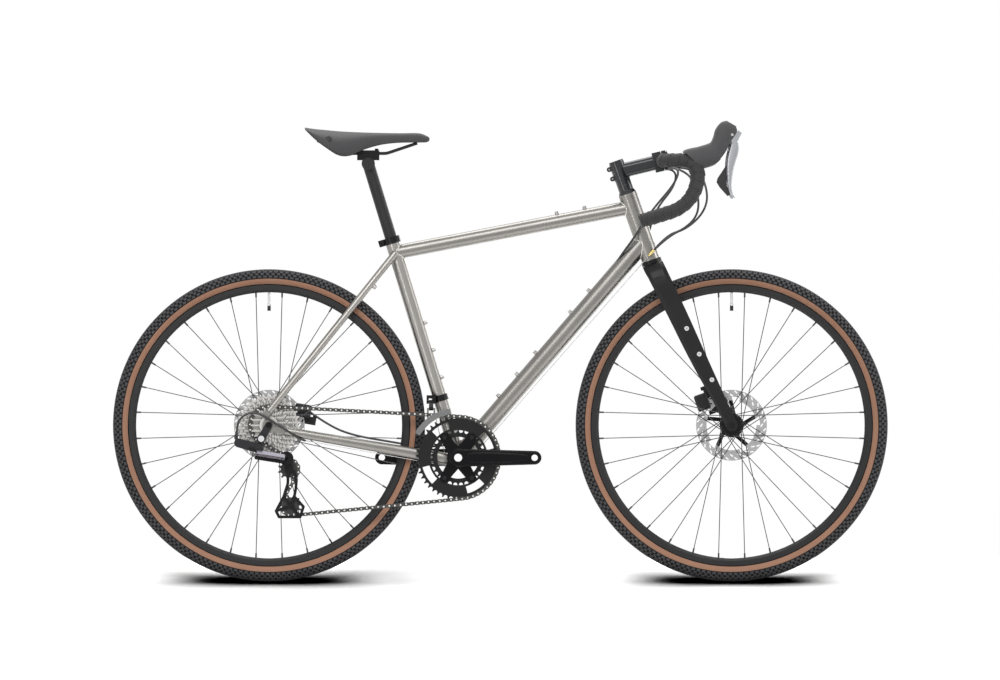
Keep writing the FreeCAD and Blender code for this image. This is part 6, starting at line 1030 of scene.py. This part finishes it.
def build_crank_crowns():
    for side, name in ((-1, "right"), (1, "left")):
        vertices = []
        for row in range(CROWN_ROWS):
            share = row / (CROWN_ROWS - 1)
            along = CROWN_FROM + (CROWN_TO - CROWN_FROM) * share
            swell = max(math.sin(math.pi * share), SWELL_LEAST) ** SWELL_POWER
            half = (CROWN_ROOT + (CROWN_END - CROWN_ROOT) * share ** NARROW_POWER) * (1 + swell) / 2
            for column, turn in enumerate(turns(CROWN_COLUMNS)):
                if column < CROWN_COLUMNS / 2:
                    out = CROWN_RISE * swell * rounder(math.sin(turn), ACROSS_POWER)
                else:
                    out = CROWN_SUNK * math.sin(turn)
                vertices.append(Vector((CRANK_AXLE.x - side * along, side * (CRANK_FACE + out),
                                        CRANK_AXLE.z + half * math.cos(turn))))
        crown = make_object("crank_crown_" + name, vertices, tube_faces(CROWN_ROWS, CROWN_COLUMNS), [CRANK_BLACK])
        clean(crown)
        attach(crown, "crankset")


build_crank_crowns()


# Weld beads where the frame's tubes meet

BEAD_RADIUS = 0.0017
BEAD_STEPS = 220
BEAD_COLUMNS = 10
RIPPLE_SHARE = 0.16
RIPPLE_STEPS = 5


def weld_line(start, axis, radius, other_point, other_axis, other_radius):
    """Points where a tube that comes from a start along an axis first meets another tube."""
    aside = axis.cross(Y_AXIS).normalized()
    other = axis.cross(aside)
    heading = axis - other_axis * axis.dot(other_axis)
    points = []
    for turn in turns(BEAD_STEPS):
        base = start + (aside * math.cos(turn) + other * math.sin(turn)) * radius - other_point
        flat = base - other_axis * base.dot(other_axis)
        a = heading.dot(heading)
        b = 2 * flat.dot(heading)
        c = flat.dot(flat) - other_radius ** 2
        distance = (-b - math.sqrt(max(b * b - 4 * a * c, 0.0))) / (2 * a)
        points.append(other_point + base + axis * distance)
    return points


def weld(name, start, end, radius, other_point, other_axis, other_radius):
    """A rippled bead round the end of one tube where it meets another."""
    axis = (end - start).normalized()
    points = weld_line(start, axis, radius, other_point, other_axis.normalized(), other_radius)
    vertices = []
    for step, point in enumerate(points):
        heading = (points[(step + 1) % BEAD_STEPS] - points[step - 1]).normalized()
        away = (point - (start + axis * (point - start).dot(axis))).normalized()
        side = heading.cross(away).normalized()
        away = side.cross(heading)
        size = BEAD_RADIUS * (1 + RIPPLE_SHARE * math.sin(2 * math.pi * step / RIPPLE_STEPS))
        for turn in turns(BEAD_COLUMNS):
            vertices.append(point + (away * math.cos(turn) + side * math.sin(turn)) * size)
    bead = make_object(name, vertices, grid_faces(BEAD_STEPS, BEAD_COLUMNS, closed_rows=True), [BEAD_LOOK])
    clean(bead)
    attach(bead, "frame")


def build_welds():
    weld("weld_top_head", TOP_REAR, TOP_FRONT, TOP_RADIUS, HEAD_BOTTOM, STEER_UP, HEAD_RADIUS)
    weld("weld_top_seat", TOP_FRONT, TOP_REAR, TOP_RADIUS, CRANK_AXLE, SEAT_UP, SEAT_RADIUS)
    weld("weld_down_head", CRANK_AXLE, DOWN_FRONT, DOWN_RADIUS, HEAD_BOTTOM, STEER_UP, HEAD_RADIUS)
    weld("weld_down_shell", DOWN_FRONT, CRANK_AXLE, DOWN_RADIUS, CRANK_AXLE, Y_AXIS, SHELL_RADIUS)
    weld("weld_seat_shell", SEAT_TOP, CRANK_AXLE, SEAT_RADIUS, CRANK_AXLE, Y_AXIS, SHELL_RADIUS)


build_welds()


# Stage, camera and light

FLOOR_HALF_LENGTH = 5
# The floor from front to back: it falls away towards the camera, so that the shadow shows
FLOOR_PROFILE = ((-1.4, -0.28), (0, 0), (0.15, 0.03), (3, 0.03))
FLOOR_GREY = (0.42, 0.42, 0.42)
FLOOR_WHITE = (1.5, 1.5, 1.5)
SHADOW_REACH = 0.3
SHADOW_SHARES = (0.72, 0.965)
# The sky's strength, from below to above
SKY_LOW = 0.10
SKY_HIGH = 0.52
SKY_FROM = -0.30
SKY_TO = 0.60
PICTURE_WIDTH = 2.257
SENSOR_WIDTH = 36
LENS = 1000
CAMERA_X = -0.0008
CAMERA_Z = 0.545


def seen_rays(tree):
    """One for the rays that show the background: those from the camera, in a reflection or through glass."""
    path = node(tree, "ShaderNodeLightPath")
    total = path.outputs["Is Camera Ray"]
    for kind in ("Is Glossy Ray", "Is Transmission Ray"):
        total = maths(tree, "MAXIMUM", total, path.outputs[kind])
    return total


def build_floor():
    """A white floor that is dark close to the tyres."""
    white, tree, shader = new_material("floor_white")
    near = node(tree, "ShaderNodeAmbientOcclusion", Distance=SHADOW_REACH, samples=24)
    seen = mixed(tree, ramp(tree, near.outputs["AO"], 0.0, 1.0, *SHADOW_SHARES), (0, 0, 0), FLOOR_WHITE)
    give(tree, shader, {"Base Color": mixed(tree, seen_rays(tree), FLOOR_GREY, seen), "Roughness": 1.0,
                        "Specular IOR Level": 0.0})
    corners = []
    for y, z in FLOOR_PROFILE:
        corners.extend([(-FLOOR_HALF_LENGTH, y, z), (FLOOR_HALF_LENGTH, y, z)])
    faces = grid_faces(len(FLOOR_PROFILE), 2, closed_columns=False)
    floor = make_object("floor", corners, faces, [white], smooth=False)


def build_sky():
    """A sky that is white where it is seen, and lights the bike softly from above."""
    world = bpy.data.worlds.new("studio")
    bpy.context.scene.world = world
    world.use_nodes = True
    tree = world.node_tree
    source = node(tree, "ShaderNodeTexCoord")
    parts = node(tree, "ShaderNodeSeparateXYZ", Vector=source.outputs["Generated"])
    height = ramp(tree, parts.outputs["Z"], SKY_LOW, SKY_HIGH, SKY_FROM, SKY_TO)
    strength = node(tree, "ShaderNodeMix", data_type="FLOAT", Factor=seen_rays(tree), A=height, B=1.0)
    give(tree, tree.nodes["Background"], {"Strength": strength.outputs["Result"], "Color": (1, 1, 1, 1)})


def area_light(name, place, target, size, size_y, power):
    """A soft lamp at a place, turned to a target; power is in watts."""
    data = bpy.data.lights.new(name, "AREA")
    data.shape = "RECTANGLE"
    data.size = size
    data.size_y = size_y
    data.energy = power
    lamp = bpy.data.objects.new(name, data)
    lamp.location = place
    lamp.rotation_euler = (Vector(target) - Vector(place)).to_track_quat("-Z", "Y").to_euler()
    bpy.context.scene.collection.objects.link(lamp)


def build_camera():
    """A camera far off to the right, with a long lens."""
    data = bpy.data.cameras.new("camera")
    data.sensor_width = SENSOR_WIDTH
    data.lens = LENS
    data.clip_end = 200
    camera = bpy.data.objects.new("camera", data)
    camera.location = (CAMERA_X, -PICTURE_WIDTH * LENS / SENSOR_WIDTH, CAMERA_Z)
    camera.rotation_euler = (math.pi / 2, 0, 0)
    bpy.context.scene.collection.objects.link(camera)
    bpy.context.scene.camera = camera


build_floor()
build_sky()
build_camera()
area_light("front", (-0.3, -3.4, 2.9), (0, 0, 0.5), 4.0, 1.6, 98)
area_light("strip", (-1.9, -3.3, 0.5), (0.0, 0, 0.6), 0.4, 1.6, 16)
area_light("top", (0.1, 0.9, 3.4), (0, 0, 0.2), 3.0, 1.6, 75)
area_light("rear", (1.6, 2.6, 1.5), (0, 0, 0.6), 1.4, 1.4, 22)
area_light("side", (4.6, -0.4, 1.9), (0.3, 0, 0.6), 1.6, 2.0, 60)
bpy.context.scene.view_settings.view_transform = "Standard"
